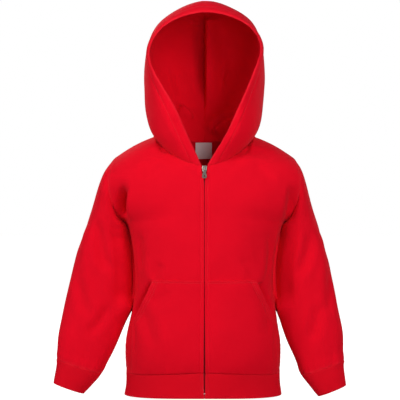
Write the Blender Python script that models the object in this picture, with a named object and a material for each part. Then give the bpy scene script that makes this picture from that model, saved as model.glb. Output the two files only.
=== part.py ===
"""Child's zip-front hooded sweat jacket, filled out as it is worn, with nobody in it.

+Z is up, the front faces -Y, and +X is the wearer's left. The origin lies midway between the two neck points,
at the height of the shoulders' inner ends. Tables and sizes are in millimetres; meshes are built in metres.
"""

import math
from collections import namedtuple

import bmesh
import bpy
import numpy as np
from mathutils import Vector

MM = 0.001

# ---------------------------------------------------------------- cloth and seams
BODY_CLOTH = 2.0  # brushed sweatshirt cloth
HOOD_CLOTH = 1.7
LINING_CLOTH = 1.4
RIB_CLOTH = 2.6  # waistband and cuffs are rib, folded double
TAPE_CLOTH = 1.0
LABEL_CLOTH = 1.0
SEAM_GAP = 0.3  # between pieces that are sewn together
LAYER_GAP = 0.3  # between pieces that lie on each other
HOOD_EDGE = 0.6  # how far the hood's own edges stand back from its seams, where the neck seam folds sharply
LINING_GAP = 0.8  # and its lining's

# ---------------------------------------------------------------- how many strips each piece is lofted in
NECK_COLS = 9  # front neck edge, centre front to neck point; also the hood's rows, face edge to back neck
SHOULDER_COLS = 4
BACK_NECK_COLS = 10  # centre back to neck point; also the hood's columns from neck edge to crown
ARM_ROWS = 4  # rows of a front from the armpit to the yoke
YOKE_ROWS = 4  # rows from the yoke over the shoulder to its seam
BODY_ROWS = 9
SLEEVE_ROWS = 11
CUFF_ROWS = 2
BAND_ROWS = 2

# ---------------------------------------------------------------- torso
ZIP_GAP = 1.3  # half the gap between the front edges
ZIP_GAP_TOP = 5.2  # half the gap where the slider holds them apart
ZIP_GAP_FROM = -78.0  # heights between which it widens
ZIP_GAP_TO = -71.0

Girth = namedtuple("Girth", "z_front z_side half_width side_y front_y back_y fullness")
WAIST_SEAM = Girth(-441, -448, 145.5, 0, -98.5, 92, 0.60)
TORSO = (
    WAIST_SEAM,
    Girth(-416, -420, 147.5, 0, -102.5, 93, 0.60),
    Girth(-382, -385, 146.5, 0, -103.0, 90, 0.60),
    Girth(-335, -336, 137.5, 0, -102.0, 85, 0.60),
    Girth(-283, -283, 132.5, 0, -101.0, 83, 0.61),
    Girth(-238, -238, 134.5, 0, -100.5, 86, 0.61),
    Girth(-200, -198, 141.5, 0, -100.0, 89, 0.61),
    Girth(-172, -168, 151.5, 0, -98.5, 91, 0.60),
)
HEM = (
    Girth(-488, -490, 149.0, 0, -99.5, 94, 0.60),
    Girth(-465, -470, 145.5, 0, -98.0, 92, 0.60),
    WAIST_SEAM,
)
SIDE_WIDTH = {"right": 1.017, "left": 0.983}  # below the waist the body hangs a little to the wearer's right
SIDE_FROM, SIDE_TO = -300.0, -370.0

# Armhole edge of the front and of the back, from the armpit up to the yoke.
Arm = namedtuple("Arm", "centre_z centre_y edge_x edge_y edge_z turn")
FRONT_ARM = (
    Arm(-150, -97.5, 163.0, -31, -155, 58),
    Arm(-127, -96.5, 173.5, -46, -131, 46),
    Arm(-104, -94.5, 179.5, -48, -101, 42),
)
BACK_ARM = (
    Arm(-143, 91.5, 163.0, 32, -155, 58),
    Arm(-112, 90.0, 173.5, 48, -131, 46),
    Arm(-80, 84.5, 178.5, 50, -98, 42),
)
NECK_POINT = (93.0, 2.0, 0.0)
SHOULDER_POINT = (171.0, 3.0, -42.0)
FRONT_NECK = (-88.0, -57.0)  # y and z where the zip ends
BACK_NECK = (61.0, -8.0)

# ---------------------------------------------------------------- sleeves: outer and under side of each ring
Ring = namedtuple("Ring", "outer_x outer_z under_x under_z centre_y half_depth bow")
SLEEVE = {
    "right": (
        Ring(187.0, -64, 150.5, -178, 3, 51, 14),
        Ring(200.0, -93, 146.5, -188, 4, 50, 9),
        Ring(213.0, -133, 141.6, -203, 6, 47, 4),
        Ring(226.5, -173, 137.4, -222, 8, 44, 0),
        Ring(240.0, -218, 134.2, -249, 9, 41, 0),
        Ring(252.0, -262, 133.4, -288, 9, 39, 0),
        Ring(263.0, -305, 138.8, -331, 8, 37, 0),
        Ring(271.5, -345, 155.5, -371, 5, 34, 0),
        Ring(278.5, -382, 174.0, -411, 0, 31, 0),
        Ring(280.0, -423, 195.0, -450, -5, 27, 0),
    ),
    "left": (
        Ring(182.5, -64, 150.5, -178, 3, 51, 14),
        Ring(194.5, -93, 146.5, -188, 4, 50, 9),
        Ring(205.5, -133, 141.6, -203, 6, 47, 4),
        Ring(218.5, -173, 137.4, -222, 8, 44, 0),
        Ring(230.5, -218, 134.2, -249, 9, 41, 0),
        Ring(241.5, -262, 133.4, -288, 9, 39, 0),
        Ring(251.0, -305, 138.8, -331, 8, 37, 0),
        Ring(259.0, -345, 150.0, -371, 5, 34, 0),
        Ring(264.5, -382, 165.0, -411, 0, 31, 0),
        Ring(265.5, -426, 184.0, -453, -5, 27, 0),
    ),
}
CUFF = {
    "right": (Ring(279.5, -436, 204.0, -461, -6, 25, 0), Ring(285.5, -468, 228.5, -488, -8, 22, 0)),
    "left": (Ring(264.0, -439, 193.0, -464, -6, 25, 0), Ring(268.5, -472, 215.8, -493, -8, 22, 0)),
}
SLEEVE_FULLNESS = 0.62  # 0.55 is an ellipse, more is squarer

# ---------------------------------------------------------------- hood: arches from the face edge to the back neck
Arch = namedtuple("Arch", "low_x low_y low_z wide_x wide_y wide_z corner_x corner_y corner_z crown_x crown_y crown_z")
FACE_EDGE = {
    "right": Arch(51, -91, 42, 100, -72, 142, 82, -84, 197, 4, -93, 227),
    "left": Arch(57, -91, 34, 99, -72, 160, 82, -84, 198, 4, -93, 227),
}
HOOD = (
    Arch(62, -93, 14, 109, -44, 137, 88, -54, 206, 4, -62, 246),
    Arch(76, -82, 2, 114, -14, 116, 90, -6, 212, 4, -12, 255),
    Arch(88, -64, -3, 114, 10, 102, 88, 42, 203, 3, 42, 247),
    Arch(96, -42, 0, 111, 27, 86, 79, 82, 168, 1, 96, 216),
    Arch(100, -19, 10, 103, 46, 66, 62, 100, 116, 0, 122, 148),
    Arch(98, 1, 17, 88, 44, 38, 50, 84, 52, 0, 99, 60),
)

# ---------------------------------------------------------------- pockets, measured on the front
POCKET_TOP = -270.0
POCKET_TOP_X = 95.0
POCKET_SIDE_Z = -352.0  # where the slanting hand opening ends
POCKET_SIDE_X = 133.5
POCKET_SIDE_X_HEM = 136.0
POCKET_GAP = 0.45
SLIDER_Z = -63.0

# ---------------------------------------------------------------- zip, measured inward from the fronts' outer face
BACKING = RIB_CLOTH + SEAM_GAP  # the tape and the chain lie behind the thickest edge
CHAIN_WIDTH, CHAIN_DEEP = 5.4, 2.4
TAPE_WIDTH = 13.0
SLIDER_LENGTH, SLIDER_TOP_WIDTH, SLIDER_FOOT_WIDTH = 11.4, 8.8, 6.6
FRONT_PLATE, REAR_PLATE = 1.8, 1.6
PLATE_GAP = CHAIN_DEEP + 0.6
POST_WIDTH, POST_LENGTH = 2.4, 3.6
BAIL_WIDTH, BAIL_BAR, BAIL_REACH, BAIL_LENGTH = 1.8, 1.0, 4.2, 7.8
PIVOT_DOWN, PIVOT_OUT = 2.0, 1.0  # from the slider's middle, and from the fronts' outer face
TAB_LENGTH, TAB_TOP_WIDTH, TAB_FOOT_WIDTH, TAB_THICK = 18.5, 5.2, 8.8, 1.1
TAB_HEAD = 0.8  # metal above the pivot
TAB_WINDOW, TAB_WINDOW_WIDTH = (0.7, 4.0), 2.8
TAB_EYE, TAB_EYE_SIZE = 13.2, (2.0, 4.2)
BOX_LENGTH, BOX_DEEP = 9.0, 3.4
LABEL_LEFT, LABEL_RIGHT, LABEL_LENGTH = 15.0, -17.0, 34.0


# ================================================================ lines and lofts
def through(rows, knots, at, crease=None, crease_weight=None):
    """Rows of points read between the given rows, as a smooth line through each column of them.
    At row number crease the line may turn sharply, by crease_weight from 0 to 1 for each column."""
    rows, knots, at = np.asarray(rows, float), np.asarray(knots, float), np.asarray(at, float)
    step = np.diff(knots)
    rise = np.diff(rows, axis=0) / step.reshape((-1,) + (1,) * (rows.ndim - 1))
    tangent = np.empty_like(rows)
    tangent[0], tangent[-1] = rise[0], rise[-1]
    share = (step[1:] / (step[:-1] + step[1:])).reshape((-1,) + (1,) * (rows.ndim - 1))
    tangent[1:-1] = share * rise[:-1] + (1 - share) * rise[1:]
    before, after = tangent.copy(), tangent.copy()
    if crease is not None:
        w = np.asarray(crease_weight, float)[:, None]
        before[crease] = (1 - w) * tangent[crease] + w * rise[crease - 1]
        after[crease] = (1 - w) * tangent[crease] + w * rise[crease]
    i = np.clip(np.searchsorted(knots, at, side="right") - 1, 0, len(knots) - 2)
    shape = (-1,) + (1,) * (rows.ndim - 1)
    d, t = step[i].reshape(shape), ((at - knots[i]) / step[i]).reshape(shape)
    return (
        (2 * t**3 - 3 * t**2 + 1) * rows[i]
        + (t**3 - 2 * t**2 + t) * d * after[i]
        + (3 * t**2 - 2 * t**3) * rows[i + 1]
        + (t**3 - t**2) * d * before[i + 1]
    )


def even(line, shares):
    """The points of a fine line at the given shares of its length."""
    line = np.asarray(line, float)
    along = np.concatenate([[0], np.cumsum(np.linalg.norm(np.diff(line, axis=0), axis=1))])
    return np.stack([np.interp(np.asarray(shares) * along[-1], along, line[:, k]) for k in range(3)], axis=1)


def bezier(p0, p1, p2, p3, n=60):
    t = np.linspace(0, 1, n)[:, None]
    p0, p1, p2, p3 = (np.asarray(p, float) for p in (p0, p1, p2, p3))
    return (1 - t) ** 3 * p0 + 3 * (1 - t) ** 2 * t * p1 + 3 * (1 - t) * t**2 * p2 + t**3 * p3


def smooth(t):
    t = np.clip(t, 0, 1)
    return t * t * (3 - 2 * t)


def girth_arc(z_mid, z_edge, mid_y, edge_x, edge_y, turn, fullness, shares):
    """From the centre line round to an edge: level at the centre, turned by turn degrees at the edge."""
    a, side = math.radians(turn), math.copysign(1, edge_y - mid_y)
    deep = abs(edge_y - mid_y)
    back = fullness * min(deep / max(math.sin(a), 0.3), edge_x) * (0.9 if turn < 80 else 1)
    line = bezier(
        (0, mid_y, 0),
        (fullness * edge_x, mid_y, 0),
        (edge_x - back * math.cos(a), edge_y - side * back * math.sin(a), 0),
        (edge_x, edge_y, 0),
        90,
    )
    line = even(line, shares)
    line[:, 2] = z_mid + (z_edge - z_mid) * smooth(line[:, 0] / edge_x)
    return line


def front_neck_line(n=80):
    """Neck seam from the zip round to the neck point."""
    y0, z0 = FRONT_NECK
    x1, y1, z1 = NECK_POINT
    return bezier((ZIP_GAP_TOP, y0, z0), (44, y0 - 2, z0 + 3), (x1 - 4, y1 - 46, z1 - 22), (x1, y1, z1), n)


def back_neck_line(n=80):
    """Neck seam from the centre back round to the neck point."""
    y0, z0 = BACK_NECK
    x1, y1, z1 = NECK_POINT
    return bezier((0, y0, z0), (46, y0, z0 - 1), (x1 + 1, y1 + 34, z1 - 5), (x1, y1, z1), n)


def shoulder_line(n=40):
    p, q = np.array(NECK_POINT), np.array(SHOULDER_POINT)
    t = np.linspace(0, 1, n)[:, None]
    return p + (q - p) * t + np.array([0, 0, 4.0]) * np.sin(np.pi * t)


def column_shares(neck_cols, shoulder_cols, neck_share=0.47):
    inner = neck_share * np.arange(neck_cols + 1) / neck_cols
    outer = neck_share + (1 - neck_share) * np.arange(1, shoulder_cols + 1) / shoulder_cols
    return np.concatenate([inner, outer])


def torso_rows(front, neck_cols, shoulder_cols):
    """Key rows of a front or half back, hem seam to shoulder, and the number of the armpit row."""
    shares = column_shares(neck_cols, shoulder_cols)
    rows = []
    for g in TORSO:
        mid = g.front_y if front else g.back_y
        z_mid = g.z_front if front else g.z_side
        rows.append(girth_arc(z_mid, g.z_side, mid, g.half_width, g.side_y, 90, g.fullness, shares))
    armpit = len(rows) - 1
    for a in FRONT_ARM if front else BACK_ARM:
        rows.append(girth_arc(a.centre_z, a.edge_z, a.centre_y, a.edge_x, a.edge_y, a.turn, 0.5, shares))
    neck = front_neck_line() if front else back_neck_line()
    top = np.concatenate(
        [
            even(neck, np.arange(neck_cols + 1) / neck_cols),
            even(shoulder_line(), np.arange(1, shoulder_cols + 1) / shoulder_cols),
        ]
    )
    # Over the shoulder: each column leaves the yoke as it comes up the chest and arrives level with the seam.
    yoke = rows[-1]
    leave = rows[-1] - rows[-2]
    leave /= np.linalg.norm(leave, axis=1)[:, None]
    far = np.linalg.norm(top - yoke, axis=1)[:, None]
    at_neck = 1 - smooth(np.arange(len(shares)) / neck_cols)[:, None]
    side = 1.0 if front else -1.0
    arrive = at_neck * np.array([0, 0.35 * side, 0.95]) + (1 - at_neck) * np.array([0, side, 0.12])
    arrive /= np.linalg.norm(arrive, axis=1)[:, None]
    for t in np.arange(1, 5) / 4:
        rows.append(
            (2 * t**3 - 3 * t**2 + 1) * yoke
            + (t**3 - 2 * t**2 + t) * 1.1 * far * leave
            + (3 * t**2 - 2 * t**3) * top
            + (t**3 - t**2) * 1.1 * far * arrive
        )
    return np.array(rows), armpit


def sideways(grid, side):
    """The body's hang to one side, below the waist."""
    k = 1 + (SIDE_WIDTH[side] - 1) * smooth((SIDE_FROM - grid[..., 2]) / (SIDE_FROM - SIDE_TO))
    return np.stack([grid[..., 0] * k, grid[..., 1], grid[..., 2]], axis=-1)


def front_gap(z):
    """How far a front edge stands off the centre line: more where the slider holds the edges apart."""
    return ZIP_GAP + (ZIP_GAP_TOP - ZIP_GAP) * smooth((z - ZIP_GAP_FROM) / (ZIP_GAP_TO - ZIP_GAP_FROM))


def edge_fade(neck_cols, shoulder_cols):
    return np.clip(1 - column_shares(neck_cols, shoulder_cols) / 0.47, 0, 1) ** 2


def torso(front, side, neck_cols, shoulder_cols, body_rows, arm_rows, yoke_rows):
    """The outer face of a front or half back as if on the wearer's left: rows from the waist seam to the shoulder."""
    rows, armpit = torso_rows(front, neck_cols, shoulder_cols)
    yoke, last = armpit + len(FRONT_ARM), len(rows) - 1
    at = np.concatenate(
        [
            np.linspace(0, armpit, body_rows + 1),
            np.linspace(armpit, yoke, arm_rows + 1)[1:],
            np.linspace(yoke, last, yoke_rows + 1)[1:],
        ]
    )
    edge = np.clip((column_shares(neck_cols, shoulder_cols) - 0.7) / 0.3, 0, 1)
    grid = through(rows, np.arange(len(rows)), at, armpit, smooth(edge))
    if front:
        fade = edge_fade(neck_cols, shoulder_cols)
        for r in range(len(grid) - 1):
            grid[r, :, 0] += (front_gap(grid[r, 0, 2]) - grid[r, 0, 0]) * fade
    return sideways(grid, side)


def band(front, side, neck_cols, shoulder_cols, band_rows):
    """The waistband's outer face from the centre line to the side: rows from the hem up to the waist seam."""
    shares = column_shares(neck_cols, shoulder_cols)
    rows = []
    for g in HEM:
        mid = g.front_y if front else g.back_y
        z_mid = g.z_front if front else g.z_side
        rows.append(girth_arc(z_mid, g.z_side, mid, g.half_width, g.side_y, 90, g.fullness, shares))
    grid = through(rows, np.arange(len(rows)), np.linspace(0, len(rows) - 1, band_rows + 1))
    if front:
        grid[:, :, 0] += ZIP_GAP * edge_fade(neck_cols, shoulder_cols)
    return sideways(grid, side)


def armhole(front_grid, back_grid, armpit):
    """Closed loop from the shoulder point down the front to the armpit and up the back."""
    down = front_grid[armpit:, -1][::-1]
    up = back_grid[armpit:, -1]
    return np.concatenate([down, up[1:-1]])


def ring(r, half):
    """A ring from its outer side over the front to the underarm and up the back, in half steps each way."""
    outer, under = np.array([r.outer_x, r.outer_z]), np.array([r.under_x, r.under_z])
    mid, reach = (outer + under) / 2, (outer - under) / 2
    a = np.radians(np.linspace(0, 360, 2 * half + 1)[:-1])
    power = 2 * (1 - SLEEVE_FULLNESS) / 0.8954
    c, s = np.cos(a), np.sin(a)
    ce = np.sign(c) * np.abs(c) ** power
    se = np.sign(s) * np.abs(s) ** power
    x = mid[0] + ce * reach[0] + r.bow * se**2
    return np.stack([x, r.centre_y - se * r.half_depth, mid[1] + ce * reach[1]], axis=1)


def sleeve(hole, half, side, sleeve_rows, cuff_rows):
    """The sleeve's outer face, armhole to cuff seam, and the cuff's, cuff seam to wrist."""
    rows = [hole] + [ring(r, half) for r in SLEEVE[side]]
    grid = through(rows, np.arange(len(rows)), np.linspace(0, len(rows) - 1, sleeve_rows + 1))
    cuffs = [rows[-1]] + [ring(r, half) for r in CUFF[side]]
    end = through(cuffs, np.arange(len(cuffs)), np.linspace(0, len(cuffs) - 1, cuff_rows + 1))
    return grid, end


def hood(neck_front, neck_back, side):
    """Outer face of half the hood: rows from the face edge to the back neck, columns from the neck edge to the crown."""
    hood_rows, hood_cols = len(neck_front) - 1, len(neck_back) - 1
    arches = [FACE_EDGE[side]] + list(HOOD)
    shares = np.arange(hood_cols + 1) / hood_cols
    feet = through(
        neck_front, np.arange(hood_rows + 1), np.linspace(0, hood_rows, len(arches) + 1)
    )
    lean = 1 if side == "left" else -1  # crown_x is to the wearer's left on both halves
    rows = []
    for foot, a in zip(feet, arches):
        key = np.array(
            [
                foot,
                (a.low_x, a.low_y, a.low_z),
                (a.wide_x, a.wide_y, a.wide_z),
                (a.corner_x + lean * a.crown_x * 0.6, a.corner_y, a.corner_z),
                (lean * a.crown_x, a.crown_y, a.crown_z),
                (-a.corner_x + lean * a.crown_x * 1.4, a.corner_y, a.corner_z),
            ]
        )
        knots = np.concatenate([[0], np.cumsum(np.linalg.norm(np.diff(key, axis=0), axis=1) ** 0.75)])
        rows.append(even(through(key, knots, np.linspace(0, knots[4], 160)), shares))
    rows.append(neck_back[::-1])  # neck point to centre back
    grid = through(rows, np.arange(len(rows)), np.linspace(0, len(rows) - 1, hood_rows + 1))
    grid[:, 0] = neck_front
    return grid


# ================================================================ one shell, cut into pieces
def mirrored(grid):
    return grid * np.array([-1.0, 1.0, 1.0])


def sheet(grid, closed=False, flip=False, start=0):
    """Points and quads of a grid of rows x columns; flip says that its faces turn the other way, and start says which
    corner comes first."""
    rows, cols = grid.shape[:2]
    quads = []
    for r in range(rows - 1):
        for c in range(cols if closed else cols - 1):
            e = (c + 1) % cols
            q = (r * cols + c, r * cols + e, (r + 1) * cols + e, (r + 1) * cols + c)
            q = q[start:] + q[:start]
            quads.append(q[:1] + q[:0:-1] if flip else q)
    return grid.reshape(-1, 3), quads


def key_of(point):
    return tuple(np.round(point, 2) + 0.0)


def face_normals(points, faces):
    out = []
    for f in faces:
        p = points[list(f)]
        out.append(np.cross(p[2] - p[0], p[3] - p[1]) if len(f) == 4 else np.cross(p[1] - p[0], p[2] - p[0]))
    return np.array(out)


def own_normals(points, faces):
    total = np.zeros_like(points)
    for f, n in zip(faces, face_normals(points, faces)):
        total[list(f)] += n
    return total / np.maximum(np.linalg.norm(total, axis=1), 1e-9)[:, None]


def shared_offsets(sheets):
    """For each piece, the step inward for each millimetre of cloth: pieces that meet at a seam step the same way
    there, and a step across a sharp seam is longer, so that the wall keeps its thickness."""
    total = {}
    for points, faces in sheets.values():
        for f, n in zip(faces, face_normals(points, faces)):
            for i in f:
                k = key_of(points[i])
                total[k] = total.get(k, 0) + n
    out = {}
    for name, (points, faces) in sheets.items():
        n = np.array([total[key_of(p)] for p in points])
        n /= np.linalg.norm(n, axis=1)[:, None]
        own = own_normals(points, faces)
        facing = np.clip(np.sum(n * own, axis=1), 0.8, 1)
        out[name] = -n / facing[:, None]
    return out


def pulled_in(points, faces, shape, by):
    """A grid's points with its edges moved in, square to each edge, by the distance given for each: b first row,
    t last row, l first column, r last."""
    rows, cols = shape
    normal = own_normals(points, faces)
    count = {}
    for f in faces:
        for a, b in zip(f, f[1:] + f[:1]):
            count[(a, b)] = 1
    moved = points.copy()
    for a, b in count:
        if (b, a) in count:
            continue
        where = {"b": a < cols and b < cols, "t": min(a, b) >= (rows - 1) * cols}
        where["l"] = a % cols == 0 and b % cols == 0 and a != b
        where["r"] = a % cols == cols - 1 and b % cols == cols - 1
        gap = max([by[e] for e in by if where[e]], default=0)
        along = points[b] - points[a]
        along /= np.linalg.norm(along)
        for i in (a, b):
            moved[i] += np.cross(normal[i], along) * gap * 0.5
    # A vertex in the middle of an edge has had half a step from each side; an edge's end has had half of one.
    ends = {0, cols - 1, (rows - 1) * cols, rows * cols - 1}
    for i in ends:
        moved[i] = points[i] + (moved[i] - points[i]) * 2
    return moved


# ================================================================ Blender objects
def clear_scene():
    for obj in list(bpy.data.objects):
        bpy.data.objects.remove(obj, do_unlink=True)


def new_collection(name):
    collection = bpy.data.collections.new(name)
    bpy.context.scene.collection.children.link(collection)
    return collection


def material(name, colour, roughness=0.9, metallic=0.0):
    m = bpy.data.materials.new(name)
    m.use_nodes = True
    b = m.node_tree.nodes["Principled BSDF"]
    b.inputs["Base Color"].default_value = (*colour, 1)
    b.inputs["Roughness"].default_value = roughness
    b.inputs["Metallic"].default_value = metallic
    return m


def cloth_wall(name, points, step, faces, thick, mat, collection, from_first=False, seam=None):
    """A wall lofted between an outer face and the same face moved in by step for each millimetre of thickness.
    Its warped quads are cut along their shorter diagonal, or from their first corner. Two pieces given the same
    seam points cut the warped edge faces that they share there alike."""
    mesh = bmesh.new()
    outer = [mesh.verts.new(p * MM) for p in points]
    inner = [mesh.verts.new(p * MM) for p in points + step * thick]
    edges = {}
    for f in faces:
        for a, b in zip(f, f[1:] + f[:1]):
            edges[(a, b)] = edges.get((b, a), 0) + 1
        cuts = [f]  # both sides are cut alike, so that the wall keeps its thickness
        if len(f) == 4:
            p = points[list(f)]
            first = from_first or np.linalg.norm(p[2] - p[0]) <= np.linalg.norm(p[3] - p[1])
            cuts = [(f[0], f[1], f[2]), (f[0], f[2], f[3])] if first else [(f[1], f[2], f[3]), (f[1], f[3], f[0])]
        for t in cuts:
            mesh.faces.new([outer[i] for i in t])
            mesh.faces.new([inner[i] for i in t[::-1]])
    rank = points if seam is None else seam
    rank = np.abs(rank[:, 0]) + 0.37 * rank[:, 1] + 0.61 * rank[:, 2]
    for a, b in edges:
        if (b, a) in edges:
            continue
        if round(rank[a], 3) <= round(rank[b], 3):
            mesh.faces.new([outer[b], outer[a], inner[b]])
            mesh.faces.new([outer[a], inner[a], inner[b]])
        else:
            mesh.faces.new([outer[b], outer[a], inner[a]])
            mesh.faces.new([outer[b], inner[a], inner[b]])
    data = bpy.data.meshes.new(name)
    mesh.to_mesh(data)
    mesh.free()
    obj = bpy.data.objects.new(name, data)
    data.materials.append(mat)
    data.shade_smooth()
    data.set_sharp_from_angle(angle=math.radians(50))
    collection.objects.link(obj)
    return obj


def primitive(name, size, place, collection, narrow=1.0, bevel=0.0):
    """A box of the given size centred on place, its foot narrowed, its edges bevelled."""
    mesh = bmesh.new()
    bmesh.ops.create_cube(mesh, size=1.0)
    for v in mesh.verts:
        v.co.x *= size[0] * (narrow if v.co.z < 0 else 1.0) * MM
        v.co.y *= size[1] * MM
        v.co.z *= size[2] * MM
    if bevel:
        bmesh.ops.bevel(mesh, geom=mesh.edges[:], offset=bevel * MM, segments=2, affect="EDGES", profile=0.5)
    for v in mesh.verts:
        v.co += Vector([c * MM for c in place])
    data = bpy.data.meshes.new(name)
    mesh.to_mesh(data)
    mesh.free()
    obj = bpy.data.objects.new(name, data)
    collection.objects.link(obj)
    return obj


def combined(obj, others, kind):
    """Exact Booleans of obj with each helper, whose own display is wire."""
    for other in others:
        m = obj.modifiers.new(other.name, "BOOLEAN")
        m.operation = kind
        m.object = other
        m.solver = "EXACT"
        other.hide_render = True
        other.display_type = "WIRE"
        other.parent = obj
    return obj


def finished(obj, mat):
    obj.data.materials.append(mat)
    obj.data.shade_smooth()
    obj.data.set_sharp_from_angle(angle=math.radians(35))
    return obj


# ================================================================ the garment
def on_row(row, x):
    """The point where a row's line of points reaches x; short of its first point, the first point moved to x."""
    y = np.interp(x, row[:, 0], row[:, 1])
    z = np.interp(x, row[:, 0], row[:, 2])
    return np.array([x, y, z])


def pocket(grid, step, rows_below):
    """A pocket's points, steps and faces, made from the front's own points: up to POCKET_TOP, out to its slanting side."""
    heights = grid[: rows_below + 1, 0, 2]
    top = np.interp(POCKET_TOP, heights, np.arange(rows_below + 1))
    at = list(range(int(math.floor(top)) + 1)) + [top]
    points, steps, index = [], [], {}
    cols = grid.shape[1]
    lattice = []
    for r in at:
        i, t = int(math.floor(r)), r - math.floor(r)
        j = min(i + 1, rows_below)
        line, away = grid[i] * (1 - t) + grid[j] * t, step[i] * (1 - t) + step[j] * t
        z = line[0, 2]
        slant = np.interp(z, [POCKET_SIDE_Z, POCKET_TOP], [POCKET_SIDE_X, POCKET_TOP_X])
        edge_x = slant if z > POCKET_SIDE_Z else np.interp(
            z, [grid[0, 0, 2], POCKET_SIDE_Z], [POCKET_SIDE_X_HEM, POCKET_SIDE_X]
        )
        edge = np.interp(edge_x, line[:, 0], np.arange(cols))
        ids = []
        for c in range(cols):
            u = min(c, edge)
            a, f = int(math.floor(u)), u - math.floor(u)
            b = min(a + 1, cols - 1)
            p, d = line[a] * (1 - f) + line[b] * f, away[a] * (1 - f) + away[b] * f
            k = (round(r, 4), round(u, 4))
            if k not in index:
                index[k] = len(points)
                points.append(p)
                steps.append(d)
            ids.append(index[k])
            if u == edge:
                ids += [index[k]] * (cols - 1 - c)
                break
        lattice.append(ids)
    faces = []
    for below, above in zip(lattice, lattice[1:]):
        for c in range(cols - 1):
            f = []
            for i in (below[c], below[c + 1], above[c + 1], above[c]):
                if i not in f:
                    f.append(i)
            if len(f) > 2:
                faces.append(tuple(f))
    return np.array(points), np.array(steps), faces


def zip_profile(band_grid, front_grid):
    """The front edge's y and z from the hem to the neck, and the outward normal at each point, both in the mid plane."""
    line = np.concatenate([band_grid[:-1, 0], front_grid[:, 0]])[:, 1:]
    along = np.diff(line, axis=0)
    along /= np.linalg.norm(along, axis=1)[:, None]
    at = np.concatenate([along[:1], along[:-1] + along[1:], along[-1:]])
    at /= np.linalg.norm(at, axis=1)[:, None]
    return line, np.stack([-at[:, 1], at[:, 0]], axis=1)


def profile_at(line, z):
    """Point and outward normal of the profile at a height, on its straight segment."""
    i = int(np.clip(np.searchsorted(line[:, 1], z) - 1, 0, len(line) - 2))
    d = line[i + 1] - line[i]
    t = (z - line[i, 1]) / d[1]
    d /= np.linalg.norm(d)
    return line[i] + (line[i + 1] - line[i]) * t, np.array([-d[1], d[0]])


def strip(rows):
    """Points and faces of a rectangular bar through rows of four corners."""
    points = np.array(rows).reshape(-1, 3)
    faces = [(0, 1, 2, 3), tuple(4 * (len(rows) - 1) + k for k in (3, 2, 1, 0))]
    for r in range(len(rows) - 1):
        for k in range(4):
            e = (k + 1) % 4
            faces.append((4 * r + k, 4 * r + 4 + k, 4 * r + 4 + e, 4 * r + e))
    return points, faces


def solid(name, points, faces, mat, collection):
    mesh = bmesh.new()
    verts = [mesh.verts.new(p * MM) for p in points]
    for f in faces:
        mesh.faces.new([verts[i] for i in f])
    bmesh.ops.recalc_face_normals(mesh, faces=mesh.faces[:])
    data = bpy.data.meshes.new(name)
    mesh.to_mesh(data)
    mesh.free()
    obj = bpy.data.objects.new(name, data)
    collection.objects.link(obj)
    return finished(obj, mat)


def tab_outline(n=10):
    """The pull tab's outline in x and distance below its pivot: narrow at the top, swelling to a round foot."""
    half = []
    top, foot = TAB_TOP_WIDTH / 2, TAB_FOOT_WIDTH / 2
    end = TAB_LENGTH - TAB_HEAD
    half += [(top - 0.6, -TAB_HEAD), (top, -TAB_HEAD + 0.6), (top, 4.6)]
    for t in np.linspace(0, 1, n)[1:]:
        half.append((top + (foot - top) * smooth(t * 0.9) / smooth(0.9), 4.6 + (end - 3.6 - 4.6) * t))
    for a in np.radians(np.linspace(0, 90, 7))[1:]:
        half.append((foot - 2.9 + 2.9 * math.cos(a) if a < math.radians(89) else 0.0, end - 3.6 + 3.6 * math.sin(a)))
    right = [(x, d) for x, d in half]
    left = [(-x, d) for x, d in half[::-1] if x > 0]
    return right + left


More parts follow.
